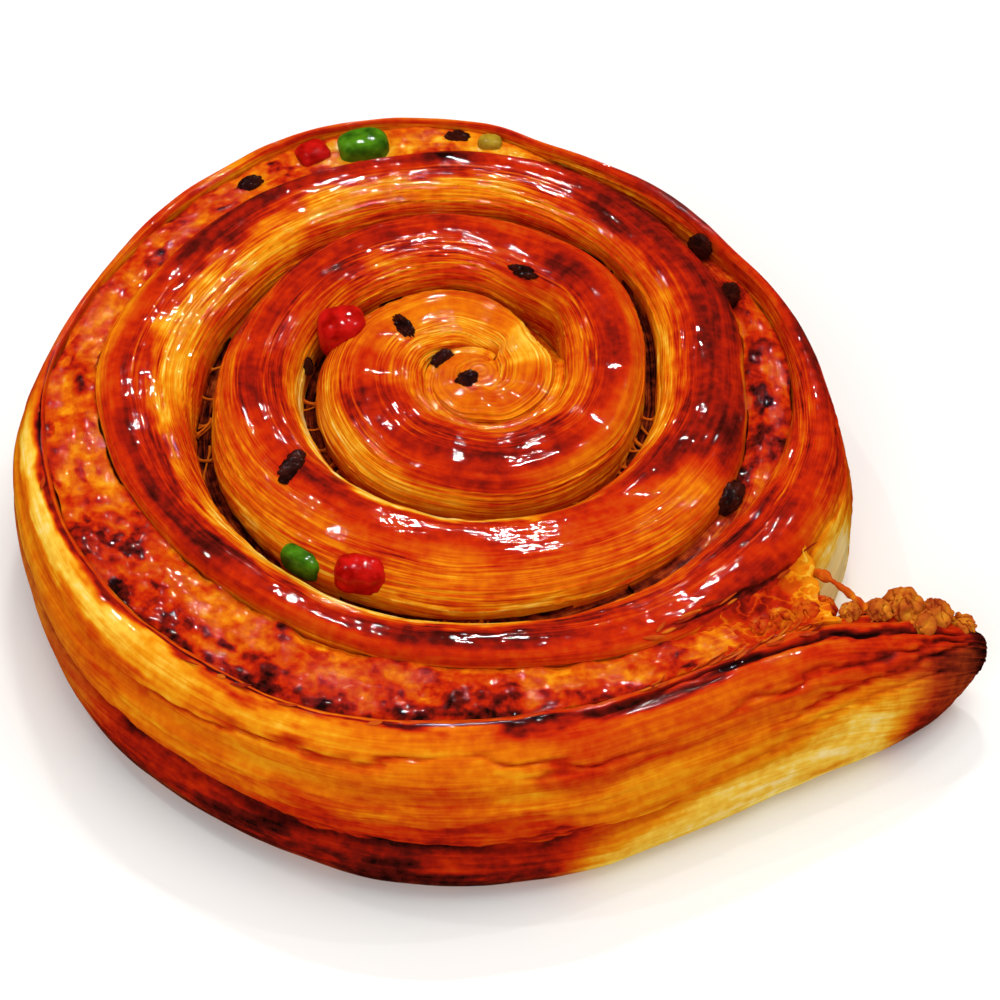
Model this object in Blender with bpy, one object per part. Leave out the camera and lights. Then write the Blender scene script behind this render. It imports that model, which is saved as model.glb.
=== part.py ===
# Pain aux raisins: a coiled slice of laminated dough with a swirl of custard, raisins and candied fruit.
#
# The slice lies flat on Z = 0 with its origin under the middle of the coil. The dough is one strip that
# winds outwards counter-clockwise for about four and a half turns and ends in a loose, pointed tail. A place
# along the strip is an angle that keeps growing: 360 degrees more is one turn further out. All tables are in
# degrees and millimetres, and one scale turns the finished points into metres.

import math

import bmesh
import bpy
import numpy as np
from mathutils import Matrix, Vector

MM = 0.001

# Driving dimensions, in millimetres.
COIL_START = -660.0
COIL_END = 1005.0
CORE_STEP = 15.0
OUTER_STEP = 7.5
CORE_LIMIT = -180.0
TURN = 360.0

# The dough strip: its core, its walls between the base and the rim, and the roundness of its top.
CORE_INNER_RADIUS = 2.2
BUTTON_RADIUS = 3.1
BUTTON_TAPER = 0.92
BUTTON_HEIGHT = 24.3
BASE_CHAMFER = 0.7
KNEE_LOW = 10.0
KNEE_HIGH = 15.5
RIM_DROP = 0.5
CROWN_POWER = 2.4
FLANK_POWER = 2.1
RISE_POINTS = 2
FALL_POINTS = 5

# The outer side comes free of the custard between these two places, and draws in below its belly.
FREE_FROM = 660.0
FREE_TO = 690.0
LEDGE_END = 686.0
UNDERCUT = 2.2
UNDERCUT_STEPS = ((0.12, 0.62), (0.4, 0.3), (1.0, 0.0))
CREASE_STEPS = ((2, 0.55, 0.75), (4, 1.0, 0.2))

# Slow waves of the crest along the strip: height in millimetres, waves in a turn and phase.
UNEVEN_WAVES = ((0.35, 3.1, 0.7), (0.21, 7.3, 2.1))

# The custard between the turns.
FIT_GAP = 0.3
CUSTARD_BASE = 0.4
CUSTARD_END = 667.5
CUSTARD_THROAT = 4.0
DOME_LIMIT = 0.6
DOME_SHARE = 0.12
DOME_PLACES = (0.3, 0.7)
BLISTER_HEIGHT = 0.35
BLISTER_WIDTHS = (3.0, 7.0)

# Fruit, the pockets it sits in, and the crags.
POCKET_GAP = 0.38
CUBE_ROUNDING = 0.24
CUBE_WOBBLE = 0.07
RAISIN_WOBBLE = 0.2
WRINKLE_WAVES = 3
WRINKLE_RATE = 5.0
FRUIT_SEED = 100
CRAG_SEED = 40
CRAG_ROUGHNESS = 0.36
CRAG_FLATNESS = 0.8
WELD_DISTANCE = 0.02
SMOOTH_ANGLE = 50.0

# Outer edge of the strip at its rim, or at its belly once that side is free.
OUTER_EDGE = (
    (-660, 3.3), (-570, 6.0), (-480, 8.2), (-400, 10.0), (-320, 12.2), (-270, 16.5), (-225, 20.5),
    (-180, 24.2), (-90, 24.4), (0, 24.3), (45, 29.0), (90, 32.8), (135, 35.3), (180, 39.0),
    (215, 41.3), (270, 41.2), (325, 40.9), (360, 39.0), (380, 40.6), (400, 41.9), (420, 44.3),
    (450, 46.4), (480, 48.4), (510, 52.6), (540, 56.0), (555, 54.6), (575, 52.5), (600, 51.0),
    (630, 51.0), (655, 52.8), (670, 55.0), (686, 58.5), (702, 57.0), (720, 52.3), (740, 49.2),
    (754, 48.1), (764, 48.9), (776, 50.1), (788, 50.6), (798, 51.9), (810, 55.3), (823, 57.6),
    (839, 59.8), (848, 61.2), (858, 61.9), (880, 62.6), (895, 65.3), (908, 68.9), (925, 70.4),
    (946, 72.2), (960, 72.0), (980, 72.8), (1005, 71.4),
)

# Width of the seam between this place and the next turn out: two fit gaps and the custard.
SEAM_WIDTH = (
    (-660, 1.3), (-335, 1.3), (-306, 3.4), (-278, 1.3), (-180, 1.6), (0, 1.3), (90, 1.3), (180, 1.6),
    (215, 1.7), (300, 2.0), (325, 2.7), (360, 6.4), (380, 4.4), (400, 2.8), (420, 1.7), (436, 2.7),
    (450, 6.2), (465, 7.8), (480, 8.6), (495, 7.0), (525, 5.2), (540, 6.5), (555, 8.3), (575, 10.3),
    (600, 10.5), (630, 8.0), (655, 5.3), (670, 3.5), (686, 2.6),
)

# Height of the custard's surface in the seam.
CUSTARD_TOP = (
    (-660, 24.0), (-350, 23.9), (-306, 16.5), (-270, 22.6), (-225, 22.0), (-180, 19.0), (-60, 19.0), (20, 21.5),
    (110, 21.5), (160, 19.5), (220, 19.5), (300, 21.5), (360, 21.5), (410, 20.0), (450, 22.2),
    (510, 22.8), (555, 23.6), (655, 23.6), (686, 21.0),
)

# Height of the strip's crest, and where it lies across the strip: 0 is the inner rim, 1 the outer one.
CREST_HEIGHT = (
    (-660, 24.5), (-400, 25.0), (-180, 26.2), (180, 26.5), (360, 25.6), (540, 25.6), (655, 25.2),
    (700, 24.6), (760, 23.6), (810, 23.2), (900, 24.4), (990, 24.6), (1005, 24.4),
)
CREST_PLACE = (
    (-660, 0.5), (-300, 0.5), (-120, 0.56), (0, 0.68), (60, 0.55), (120, 0.68), (180, 0.55),
    (240, 0.28), (270, 0.24), (325, 0.39), (360, 0.56), (400, 0.58), (450, 0.78), (480, 0.84),
    (540, 0.8), (600, 0.7), (655, 0.66), (686, 0.46), (720, 0.48), (800, 0.45), (850, 0.38),
    (880, 0.28), (905, 0.16), (1005, 0.12),
)

# Height of the free side's belly, its widest line.
BELLY_HEIGHT = ((675, 5.0), (720, 8.0), (780, 12.0), (908, 12.0), (935, 8.5), (970, 4.8), (1005, 4.2))

# Depth of the two long creases that the rising dough left in the free side.
CREASE_DEPTH = ((895, 0.0), (925, 0.7), (960, 1.0), (990, 0.8), (1005, 0.6))

# The loose tail: inner and outer plan points, crest height, lift of the underside and crest place.
TAIL_STATIONS = (
    ((29.0, -50.3), (34.6, -61.8), 24.0, 0.0, 0.14),
    ((37.9, -45.2), (43.2, -57.6), 23.4, 0.0, 0.20),
    ((45.8, -40.6), (50.4, -54.2), 22.2, 0.0, 0.28),
    ((52.4, -37.9), (57.2, -51.2), 20.6, 0.3, 0.36),
    ((59.0, -36.4), (63.6, -47.6), 18.6, 1.2, 0.42),
    ((65.0, -36.6), (68.6, -43.2), 16.0, 3.2, 0.48),
    ((69.2, -37.4), (71.0, -40.2), 13.6, 6.5, 0.50),
)
TAIL_SUBSTEPS = 2
TAIL_CREASE = 0.6

# Fruit: name, kind, X, Y, height of its top, length, width, height, turn in degrees.
FRUIT = (
    ("candied_cherry_core", "cube", -20.3, 8.4, 27.2, 7.4, 7.0, 6.5, 12),
    ("candied_cherry_front", "cube", -16.1, -35.5, 25.9, 7.4, 5.0, 5.0, -8),
    ("candied_cherry_back", "cube", -26.6, 47.4, 24.0, 5.4, 5.0, 5.0, 30),
    ("candied_melon_back", "cube", -18.7, 48.9, 24.9, 8.2, 5.6, 5.4, 12),
    ("candied_melon_front", "cube", -24.4, -32.1, 23.8, 6.6, 3.4, 4.4, -36),
    ("candied_citron_back", "cube", 1.3, 50.2, 23.2, 4.0, 3.2, 3.6, -4),
    ("raisin_core_left", "raisin", -11.3, 7.5, 27.1, 6.0, 3.2, 3.4, 118),
    ("raisin_core_near", "raisin", -5.5, 3.2, 25.2, 4.0, 3.0, 3.4, 40),
    ("raisin_centre", "raisin", -1.7, -1.1, 25.3, 4.4, 3.6, 3.6, 20),
    ("raisin_core_back", "raisin", 6.2, 19.7, 26.0, 5.8, 2.4, 3.0, -26),
    ("raisin_left", "raisin", -26.3, -18.7, 27.1, 7.0, 3.6, 3.8, 68),
    ("raisin_right", "raisin", 37.4, 17.6, 23.8, 4.6, 3.4, 4.0, 70),
    ("raisin_right_back", "raisin", 33.6, 28.4, 23.2, 4.4, 3.4, 4.0, 130),
    ("raisin_right_front", "raisin", 35.2, -20.6, 23.4, 6.6, 4.0, 4.2, 60),
    ("raisin_back_left", "raisin", -36.2, 40.8, 23.4, 5.2, 3.2, 3.6, 42),
    ("raisin_back", "raisin", -4.0, 51.4, 23.2, 5.0, 3.6, 3.8, 6),
    ("raisin_seam_left", "raisin", -25.4, 4.0, 22.6, 3.0, 2.0, 2.8, 100),
)

# Crags of torn, dried dough on the tail and in the notch behind it: X, Y, Z and radius.
CRAGS = (
    (58.6, -37.4, 18.0, 3.0), (62.9, -37.6, 16.2, 2.6), (66.8, -38.0, 14.0, 2.2),
    (54.6, -39.0, 19.2, 2.0), (60.6, -40.0, 17.4, 2.2), (50.6, -39.8, 20.4, 1.6),
    (38.4, -42.8, 20.4, 2.4), (41.2, -41.0, 20.0, 2.7), (44.4, -39.2, 19.2, 2.7),
    (47.4, -37.4, 18.0, 2.3),
)

# Colour, roughness and name of each material.
MATERIALS = {
    "dough": ("baked_laminated_dough", (0.58, 0.13, 0.02), 0.32),
    "custard": ("baked_custard", (0.33, 0.05, 0.01), 0.28),
    "cherry": ("candied_cherry", (0.70, 0.02, 0.01), 0.2),
    "melon": ("candied_melon", (0.06, 0.16, 0.01), 0.22),
    "citron": ("candied_citron", (0.45, 0.32, 0.03), 0.22),
    "raisin": ("raisin_skin", (0.02, 0.006, 0.004), 0.4),
}


def monotone_curve(knots):
    """Smooth curve through (place, value) knots that never overshoots between two of them."""
    x = np.array([k[0] for k in knots], float)
    y = np.array([k[1] for k in knots], float)
    step = np.diff(x)
    slope = np.diff(y) / step
    tangent = np.zeros_like(y)
    tangent[0] = slope[0]
    tangent[-1] = slope[-1]
    for i in range(1, len(x) - 1):
        if slope[i - 1] * slope[i] > 0.0:
            w1 = 2.0 * step[i] + step[i - 1]
            w2 = step[i] + 2.0 * step[i - 1]
            tangent[i] = (w1 + w2) / (w1 / slope[i - 1] + w2 / slope[i])

    def value(place):
        place = min(max(place, x[0]), x[-1])
        i = min(int(np.searchsorted(x, place, side="right")) - 1, len(step) - 1)
        t = (place - x[i]) / step[i]
        h00 = (1.0 + 2.0 * t) * (1.0 - t) ** 2
        h10 = t * (1.0 - t) ** 2
        h01 = t * t * (3.0 - 2.0 * t)
        h11 = t * t * (t - 1.0)
        return h00 * y[i] + h10 * step[i] * tangent[i] + h01 * y[i + 1] + h11 * step[i] * tangent[i + 1]

    return value


outer_edge = monotone_curve(OUTER_EDGE)
seam_width = monotone_curve(SEAM_WIDTH)
custard_top = monotone_curve(CUSTARD_TOP)
crest_height = monotone_curve(CREST_HEIGHT)
crest_place = monotone_curve(CREST_PLACE)
belly_height = monotone_curve(BELLY_HEIGHT)
crease_depth = monotone_curve(CREASE_DEPTH)


def smooth_step(low, high, value):
    t = min(max((value - low) / (high - low), 0.0), 1.0)
    return t * t * (3.0 - 2.0 * t)


def inner_edge(place):
    """The strip's inner rim: the last turn's outer rim and the seam, or the core's small hole."""
    if place >= COIL_START + TURN:
        return outer_edge(place - TURN) + seam_width(place - TURN)
    first = outer_edge(COIL_START) + seam_width(COIL_START)
    ramp = smooth_step(COIL_START + TURN - CORE_STEP, COIL_START + TURN, place)
    return CORE_INNER_RADIUS + (first - CORE_INNER_RADIUS) * ramp


def ledge(place):
    """How far the dough closes in on the custard, low down, from each side of a wide seam."""
    closed = 1.0 - smooth_step(FREE_FROM, LEDGE_END, place)
    return closed * max(0.0, 0.5 * (seam_width(place) - CUSTARD_THROAT))


def freedom(place):
    """0 where the strip's outer side meets custard, 1 where that side is free."""
    return smooth_step(FREE_FROM, FREE_TO, place)


def quarter_arc(start, peak, count, power):
    """Points between a rim and a crest on a quarter of a superellipse, without its two ends."""
    points = []
    for i in range(1, count + 1):
        angle = 0.5 * math.pi * i / (count + 1)
        across = 1.0 - math.cos(angle) ** (2.0 / power)
        up = math.sin(angle) ** (2.0 / power)
        points.append((start[0] + (peak[0] - start[0]) * across, start[1] + (peak[1] - start[1]) * up))
    return points


def unevenness(place):
    """The slow rise and fall of hand-rolled dough along the strip."""
    turn = math.radians(place)
    return sum(height * math.sin(waves * turn + phase) for height, waves, phase in UNEVEN_WAVES)


def strip_section(width, crest, crest_at, rims, ledges, free, belly, crease, lift, undercut):
    """The strip's closed outline as (distance from the inner rim, height), from its inner foot over the
    crest to its outer foot. rims and ledges each hold an inner and an outer value."""
    peak = (crest_at * width, crest)
    shoulder = rims[1] + (belly - rims[1]) * free
    power = CROWN_POWER + (FLANK_POWER - CROWN_POWER) * free
    inner = [(-ledges[0] + BASE_CHAMFER, lift), (-ledges[0], KNEE_LOW)]
    inner += [(-0.5 * ledges[0], KNEE_HIGH), (0.0, rims[0])]
    rise = quarter_arc((0.0, rims[0]), peak, RISE_POINTS, CROWN_POWER)
    fall = quarter_arc((width, shoulder), peak, FALL_POINTS, power)[::-1]
    for i, across, down in CREASE_STEPS:
        fall[i] = (fall[i][0] - across * crease * free, fall[i][1] - down * crease * free)
    covered = [(width + 0.5 * ledges[1], KNEE_HIGH), (width + ledges[1], KNEE_LOW)]
    covered.append((width + ledges[1] - BASE_CHAMFER, lift))
    open_side = [(width - share * undercut, lift + rise_to * (belly - lift))
                 for share, rise_to in UNDERCUT_STEPS]
    outer = [(c[0] + (o[0] - c[0]) * free, c[1] + (o[1] - c[1]) * free) for c, o in zip(covered, open_side)]
    return inner + rise + [peak] + fall + [(width, shoulder)] + outer


def coil_section(place):
    """The strip's outline at one place of the coil, as points in millimetres."""
    inner = inner_edge(place)
    rims = [custard_top(p) - RIM_DROP for p in (max(place - TURN, COIL_START), place)]
    ledges = [ledge(p) for p in (place - TURN, place)]
    crease = crease_depth(place) if place > CREASE_DEPTH[0][0] else 0.0
    outline = strip_section(outer_edge(place) - inner, crest_height(place) + unevenness(place),
                            crest_place(place), rims, ledges, freedom(place), belly_height(place),
                            crease, 0.0, UNDERCUT)
    turn = math.radians(place)
    return [((inner + s) * math.cos(turn), (inner + s) * math.sin(turn), z) for s, z in outline]


def tail_sections():
    """The outlines along the loose tail, which leaves the coil and narrows to a point."""
    end = math.radians(COIL_END)
    edges = [(r * math.cos(end), r * math.sin(end)) for r in (inner_edge(COIL_END), outer_edge(COIL_END))]
    first = (*edges, crest_height(COIL_END) + unevenness(COIL_END), 0.0, crest_place(COIL_END))
    rows = [(*s[0], *s[1], *s[2:]) for s in (first,) + TAIL_STATIONS]
    curves = [monotone_curve([(i, row[k]) for i, row in enumerate(rows)]) for k in range(len(rows[0]))]
    last = len(rows) - 1
    sections = []
    for i in range(1, last * TAIL_SUBSTEPS + 1):
        t = i / TAIL_SUBSTEPS
        xi, yi, xo, yo, crest, lift, crest_at = (curve(t) for curve in curves)
        width = math.hypot(xo - xi, yo - yi)
        thickness = crest - lift
        rim = lift + thickness * (0.93 - 0.35 * t / last)
        belly = lift + thickness * (0.18 + 0.22 * t / last)
        outline = strip_section(width, crest, crest_at, (rim, rim), (0.0, 0.0), 1.0, belly,
                                TAIL_CREASE * (1.0 - t / last), lift, min(UNDERCUT, 0.3 * width))
        outline[0] = (min(BASE_CHAMFER, 0.2 * width), lift)
        outline[1] = (0.0, lift + 0.3 * thickness)
        outline[2] = (0.0, lift + 0.5 * thickness)
        along = Vector((xo - xi, yo - yi)) / width
        sections.append([(xi + along.x * s, yi + along.y * s, z) for s, z in outline])
    return sections


def places_between(first, last):
    """Places along the coil: coarse in the small core, finer outside it."""
    core = np.arange(first, min(last, CORE_LIMIT), CORE_STEP)
    rest = np.arange(max(first, CORE_LIMIT), last + 0.5 * OUTER_STEP, OUTER_STEP)
    return [float(p) for p in np.concatenate([core, rest])]


def loft(name, sections):
    """A closed body through outlines of the same number of points, in millimetres."""
    bm = bmesh.new()
    rings = [[bm.verts.new((x * MM, y * MM, z * MM)) for x, y, z in section] for section in sections]
    count = len(rings[0])
    for a, b in zip(rings[:-1], rings[1:]):
        for i in range(count):
            j = (i + 1) % count
            bm.faces.new((a[i], a[j], b[j], b[i]))
    bm.faces.new(rings[0][::-1])
    bm.faces.new(rings[-1])
    bmesh.ops.triangulate(bm, faces=bm.faces[:])
    bmesh.ops.recalc_face_normals(bm, faces=bm.faces[:])
    return finish_mesh(name, bm)


def finish_mesh(name, bm):
    mesh = bpy.data.meshes.new(name)
    bm.to_mesh(mesh)
    bm.free()
    mesh.shade_smooth()
    mesh.set_sharp_from_angle(angle=math.radians(SMOOTH_ANGLE))
    return bpy.data.objects.new(name, mesh)


def custard_section(place):
    """The custard's outline between the dough walls of one turn and the next."""
    low = outer_edge(place) + FIT_GAP
    high = inner_edge(place + TURN) - FIT_GAP
    shelf = ledge(place)
    rim = custard_top(place) - RIM_DROP
    levels = ((CUSTARD_BASE, shelf), (KNEE_LOW, shelf), (KNEE_HIGH, 0.5 * shelf), (rim, 0.0))
    left = [(low + inset, z) for z, inset in levels]
    right = [(high - inset, z) for z, inset in levels]
    width = high - low
    turn = math.radians(place)
    blister = BLISTER_HEIGHT * smooth_step(*BLISTER_WIDTHS, width)
    dome = min(DOME_LIMIT, DOME_SHARE * width)
    crown = []
    for share in DOME_PLACES:
        bump = blister * math.sin(11.0 * turn + 6.0 * share) * math.cos(4.0 * turn)
        crown.append((low + share * width, rim + dome + bump))
    outline = left + crown + right[::-1]
    return [(r * math.cos(turn), r * math.sin(turn), z) for r, z in outline]


def make_dough():
    places = places_between(COIL_START, COIL_END)
    sections = [coil_section(place) for place in places] + tail_sections()
    return loft("dough_coil", sections)


def make_custard():
    sections = [custard_section(place) for place in places_between(COIL_START, CUSTARD_END)]
    return loft("custard_swirl", sections)


def make_button():
    """The solid middle of the coil, where the strip's first turn folds on itself."""
    bm = bmesh.new()
    bmesh.ops.create_cone(bm, cap_ends=True, segments=20, radius1=BUTTON_RADIUS * MM,
                          radius2=BUTTON_TAPER * BUTTON_RADIUS * MM, depth=BUTTON_HEIGHT * MM)
    bmesh.ops.translate(bm, verts=bm.verts[:], vec=(0.0, 0.0, 0.5 * BUTTON_HEIGHT * MM))
    bmesh.ops.triangulate(bm, faces=bm.faces[:])
    return finish_mesh("coil_button", bm)


def make_crag(index, x, y, z, radius):
    """A lump of torn crumb: a small flattened ball pushed in and out."""
    bm = bmesh.new()
    bmesh.ops.create_icosphere(bm, subdivisions=2, radius=radius * MM)
    rng = np.random.default_rng(CRAG_SEED + index)
    for vert in bm.verts:
        vert.co *= 1.0 + CRAG_ROUGHNESS * (rng.random() - 0.5)
        vert.co.z *= CRAG_FLATNESS
    bmesh.ops.translate(bm, verts=bm.verts[:], vec=(x * MM, y * MM, z * MM))
    return finish_mesh("crag_%d" % index, bm)


def fruit_mesh(kind, length, width, height, seed):
    """A candied cube with rounded edges, or a raisin with a wrinkled skin, about its own middle."""
    bm = bmesh.new()
    if kind == "cube":
        bmesh.ops.create_cube(bm, size=1.0)
        bmesh.ops.bevel(bm, geom=bm.edges[:], offset=CUBE_ROUNDING, segments=2, profile=0.5, affect='EDGES')
        wobble = CUBE_WOBBLE
    else:
        bmesh.ops.create_icosphere(bm, subdivisions=2, radius=0.5)
        wobble = RAISIN_WOBBLE
    rng = np.random.default_rng(seed)
    waves = rng.normal(size=(WRINKLE_WAVES, 3)) * WRINKLE_RATE
    phases = rng.random(WRINKLE_WAVES) * math.tau
    for vert in bm.verts:
        ripple = sum(math.sin(Vector(w).dot(vert.co) + p) for w, p in zip(waves, phases)) / WRINKLE_WAVES
        vert.co *= 1.0 + wobble * ripple
        vert.co = Vector((vert.co.x * length, vert.co.y * width, vert.co.z * height)) * MM
    bmesh.ops.triangulate(bm, faces=bm.faces[:])
    return bm


def make_fruit(row, index):
    """One piece of fruit sunk in the surface, and the slightly larger cutter of its pocket."""
    name, kind, x, y, top, length, width, height, turn = row
    place = Matrix.Translation((x * MM, y * MM, (top - 0.5 * height) * MM))
    place = place @ Matrix.Rotation(math.radians(turn), 4, 'Z')
    grown = [size + 2.0 * POCKET_GAP for size in (length, width, height)]
    pair = []
    for label, sizes in ((name, (length, width, height)), (name + "_pocket", grown)):
        bm = fruit_mesh(kind, *sizes, FRUIT_SEED + index)
        bmesh.ops.transform(bm, matrix=place, verts=bm.verts[:])
        pair.append(finish_mesh(label, bm))
    return pair


def apply_boolean(target, operation, operands):
    """Joins a collection of bodies to a body, or cuts them from it, and keeps the result as its mesh."""
    modifier = target.modifiers.new(operation.lower(), 'BOOLEAN')
    modifier.operation = operation
    modifier.operand_type = 'COLLECTION'
    modifier.collection = operands
    modifier.solver = 'EXACT'
    bpy.context.view_layer.update()
    evaluated = target.evaluated_get(bpy.context.evaluated_depsgraph_get())
    mesh = bpy.data.meshes.new_from_object(evaluated)
    target.modifiers.clear()
    old = target.data
    target.data = mesh
    mesh.name = old.name
    bpy.data.meshes.remove(old)


def loose_bodies(bm):
    """The groups of points that faces join to each other."""
    groups = []
    seen = set()
    for start in bm.verts:
        if start in seen:
            continue
        seen.add(start)
        group = [start]
        for vert in group:
            for edge in vert.link_edges:
                other = edge.other_vert(vert)
                if other not in seen:
                    seen.add(other)
                    group.append(other)
        groups.append(group)
    return groups


def tidy_body(target):
    """Welds the doubled points that a cut can leave, and drops the loose scraps beside the pockets."""
    bm = bmesh.new()
    bm.from_mesh(target.data)
    bmesh.ops.remove_doubles(bm, verts=bm.verts[:], dist=WELD_DISTANCE * MM)
    bmesh.ops.dissolve_degenerate(bm, edges=bm.edges[:], dist=WELD_DISTANCE * MM)
    bmesh.ops.triangulate(bm, faces=bm.faces[:])
    for scrap in sorted(loose_bodies(bm), key=len)[:-1]:
        bmesh.ops.delete(bm, geom=scrap, context='VERTS')
    bm.to_mesh(target.data)
    bm.free()


def remove_collection(collection):
    for obj in list(collection.objects):
        mesh = obj.data
        bpy.data.objects.remove(obj)
        bpy.data.meshes.remove(mesh)
    bpy.data.collections.remove(collection)


def add_collection(name, objects):
    collection = bpy.data.collections.new(name)
    bpy.context.scene.collection.children.link(collection)
    for obj in objects:
        collection.objects.link(obj)
    return collection


def make_material(key):
    name, colour, roughness = MATERIALS[key]
    material = bpy.data.materials.new(name)
    material.use_nodes = True
    shader = material.node_tree.nodes["Principled BSDF"]
    shader.inputs["Base Color"].default_value = (*colour, 1.0)
    shader.inputs["Roughness"].default_value = roughness
    shader.inputs["Metallic"].default_value = 0.0
    material.diffuse_color = (*colour, 1.0)
    return material


def material_key(name):
    for key in ("cherry", "melon", "citron", "raisin"):
        if key in name:
            return key
    return "dough"


def build():
    for obj in list(bpy.data.objects):
        bpy.data.objects.remove(obj)

    dough = make_dough()
    custard = make_custard()
    parts = add_collection("pain_aux_raisins", [dough, custard])

    joined = [make_button()] + [make_crag(i, *crag) for i, crag in enumerate(CRAGS)]
    additions = add_collection("joined_dough", joined)
    apply_boolean(dough, 'UNION', additions)
    remove_collection(additions)

    pockets = []
    for index, row in enumerate(FRUIT):
        fruit, pocket = make_fruit(row, index)
        parts.objects.link(fruit)
        fruit.data.materials.append(make_material(material_key(fruit.name)))
        pocket.hide_render = True
        pocket.display_type = 'WIRE'
        pockets.append(pocket)
    cutters = add_collection("cutters", pockets)
    for body in (dough, custard):
        apply_boolean(body, 'DIFFERENCE', cutters)
        tidy_body(body)
    remove_collection(cutters)
    dough.data.materials.clear()
    custard.data.materials.clear()
    dough.data.materials.append(make_material("dough"))
    custard.data.materials.append(make_material("custard"))


build()
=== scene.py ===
# Looks of the pain aux raisins: a coiled slice of laminated dough with baked custard, raisins and candied
# fruit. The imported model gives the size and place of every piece, this script its fine surface and finish.
import math

import bpy
import numpy as np
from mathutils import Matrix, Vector


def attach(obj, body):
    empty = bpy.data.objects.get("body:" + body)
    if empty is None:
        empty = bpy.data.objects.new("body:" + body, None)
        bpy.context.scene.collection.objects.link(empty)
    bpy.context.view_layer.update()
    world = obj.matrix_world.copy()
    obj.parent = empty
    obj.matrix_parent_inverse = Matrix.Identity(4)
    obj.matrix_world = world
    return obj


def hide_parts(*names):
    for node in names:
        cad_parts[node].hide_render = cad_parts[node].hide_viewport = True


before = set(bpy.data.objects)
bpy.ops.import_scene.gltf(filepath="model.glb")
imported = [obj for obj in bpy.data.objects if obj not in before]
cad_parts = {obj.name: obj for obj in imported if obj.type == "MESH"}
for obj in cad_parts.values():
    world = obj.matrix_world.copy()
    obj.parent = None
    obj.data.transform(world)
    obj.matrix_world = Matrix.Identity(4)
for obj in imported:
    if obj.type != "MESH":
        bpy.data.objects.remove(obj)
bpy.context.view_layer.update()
mm = 0.001
skinUnit = 100.0               # mm on the unrolled skin for one unit of the map "lay"

# camera, floor and light
view = {
    "elevation": 52.0,                    # degrees above the table
    "distance": 340.0,                    # mm
    "target": (2.898, -23.905, 25.0),     # mm, what stands in the middle of the picture
    "lens": 88.1,
    "sensor": 36.0,
}
studio = {
    "floorColour": "#F4F3F1",
    "floorRadius": 2.5,                   # m
    "floorRoughness": 0.6,
    "skyColour": "#FFFFFF",
    "skyStrength": 0.45,
    # name: place in m, length and width in m, watts, colour, seen in the glaze
    "lights": {
        "overheadSoftbox": ((0.25, 0.20, 1.25), (0.9, 0.9), 8.9, "#FFFDF8", False),
        "frontSoftbox": ((-0.55, -0.95, 0.95), (0.8, 0.8), 6.0, "#FFFFFF", False),
        "window": ((0.03, 0.60, 0.84), (0.10, 0.008), 1.7, "#FFFFFF", True),
        "sideWindow": ((-0.45, 0.30, 0.95), (0.020, 0.014), 0.7, "#FFFFFF", True),
        "farWindow": ((0.40, 0.42, 0.90), (0.020, 0.014), 0.6, "#FFFFFF", True),
    },
}


def linear(hexColour):
    # sRGB hex to linear light: below 0.04045 a straight line, above it the 2.4 power
    values = np.array([int(hexColour[i:i + 2], 16) / 255 for i in (1, 3, 5)])
    curved = ((values + 0.055) / 1.055) ** 2.4
    return (*np.where(values <= 0.04045, values / 12.92, curved).tolist(), 1.0)


def setCamera():
    data = bpy.data.cameras.new("camera")
    data.lens = view["lens"]
    data.sensor_width = view["sensor"]
    data.clip_start = 0.01
    camera = bpy.data.objects.new("camera", data)
    rise = math.radians(view["elevation"])
    back = Vector((0.0, -math.cos(rise), math.sin(rise)))
    camera.location = Vector(view["target"]) * mm + back * view["distance"] * mm
    camera.rotation_euler = back.to_track_quat('Z', 'Y').to_euler()
    bpy.context.scene.collection.objects.link(camera)
    bpy.context.scene.camera = camera


def addNode(tree, kind, settings=None, links=None):
    # one node: settings are its fields or input sockets, links go from other nodes' sockets to its inputs
    node = tree.nodes.new("ShaderNode" + kind)
    for key, value in (settings or {}).items():
        if isinstance(key, int) or key in node.inputs:
            node.inputs[key].default_value = value
        else:
            setattr(node, key, value)
    for key, source in (links or {}).items():
        tree.links.new(source, node.inputs[key])
    return node


def newMaterial(name, sockets):
    # a material whose shader has these values on its own sockets
    material = bpy.data.materials.new(name)
    material.use_nodes = True
    shader = material.node_tree.nodes["Principled BSDF"]
    for key, value in sockets.items():
        shader.inputs[key].default_value = value
    return material, material.node_tree, shader


def setStage():
    bpy.ops.mesh.primitive_circle_add(vertices=96, radius=studio["floorRadius"], fill_type='NGON')
    floor = bpy.context.active_object
    floor.name = "floor"
    floor.visible_glossy = False          # no white floor mirrored in the glaze of the sides
    board = {"Base Color": linear(studio["floorColour"]), "Roughness": studio["floorRoughness"]}
    floor.data.materials.append(newMaterial("paleLacqueredBoard", board)[0])
    world = bpy.data.worlds.new("studio")
    bpy.context.scene.world = world
    world.use_nodes = True
    sky = world.node_tree.nodes["Background"]
    sky.inputs["Color"].default_value = linear(studio["skyColour"])
    sky.inputs["Strength"].default_value = studio["skyStrength"]
    world.cycles_visibility.glossy = False
    bpy.context.scene.view_settings.view_transform = 'Standard'
    for name, (place, size, power, colour, inGlaze) in studio["lights"].items():
        data = bpy.data.lights.new(name, 'AREA')
        data.shape = 'RECTANGLE'
        data.size, data.size_y = size
        data.energy = power
        data.color = linear(colour)[:3]
        light = bpy.data.objects.new(name, data)
        light.location = place
        light.visible_glossy = inGlaze
        light.rotation_euler = Vector(place).to_track_quat('Z', 'Y').to_euler()
        bpy.context.scene.collection.objects.link(light)


setCamera()
setStage()
print("camera, floor and light are set")

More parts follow.
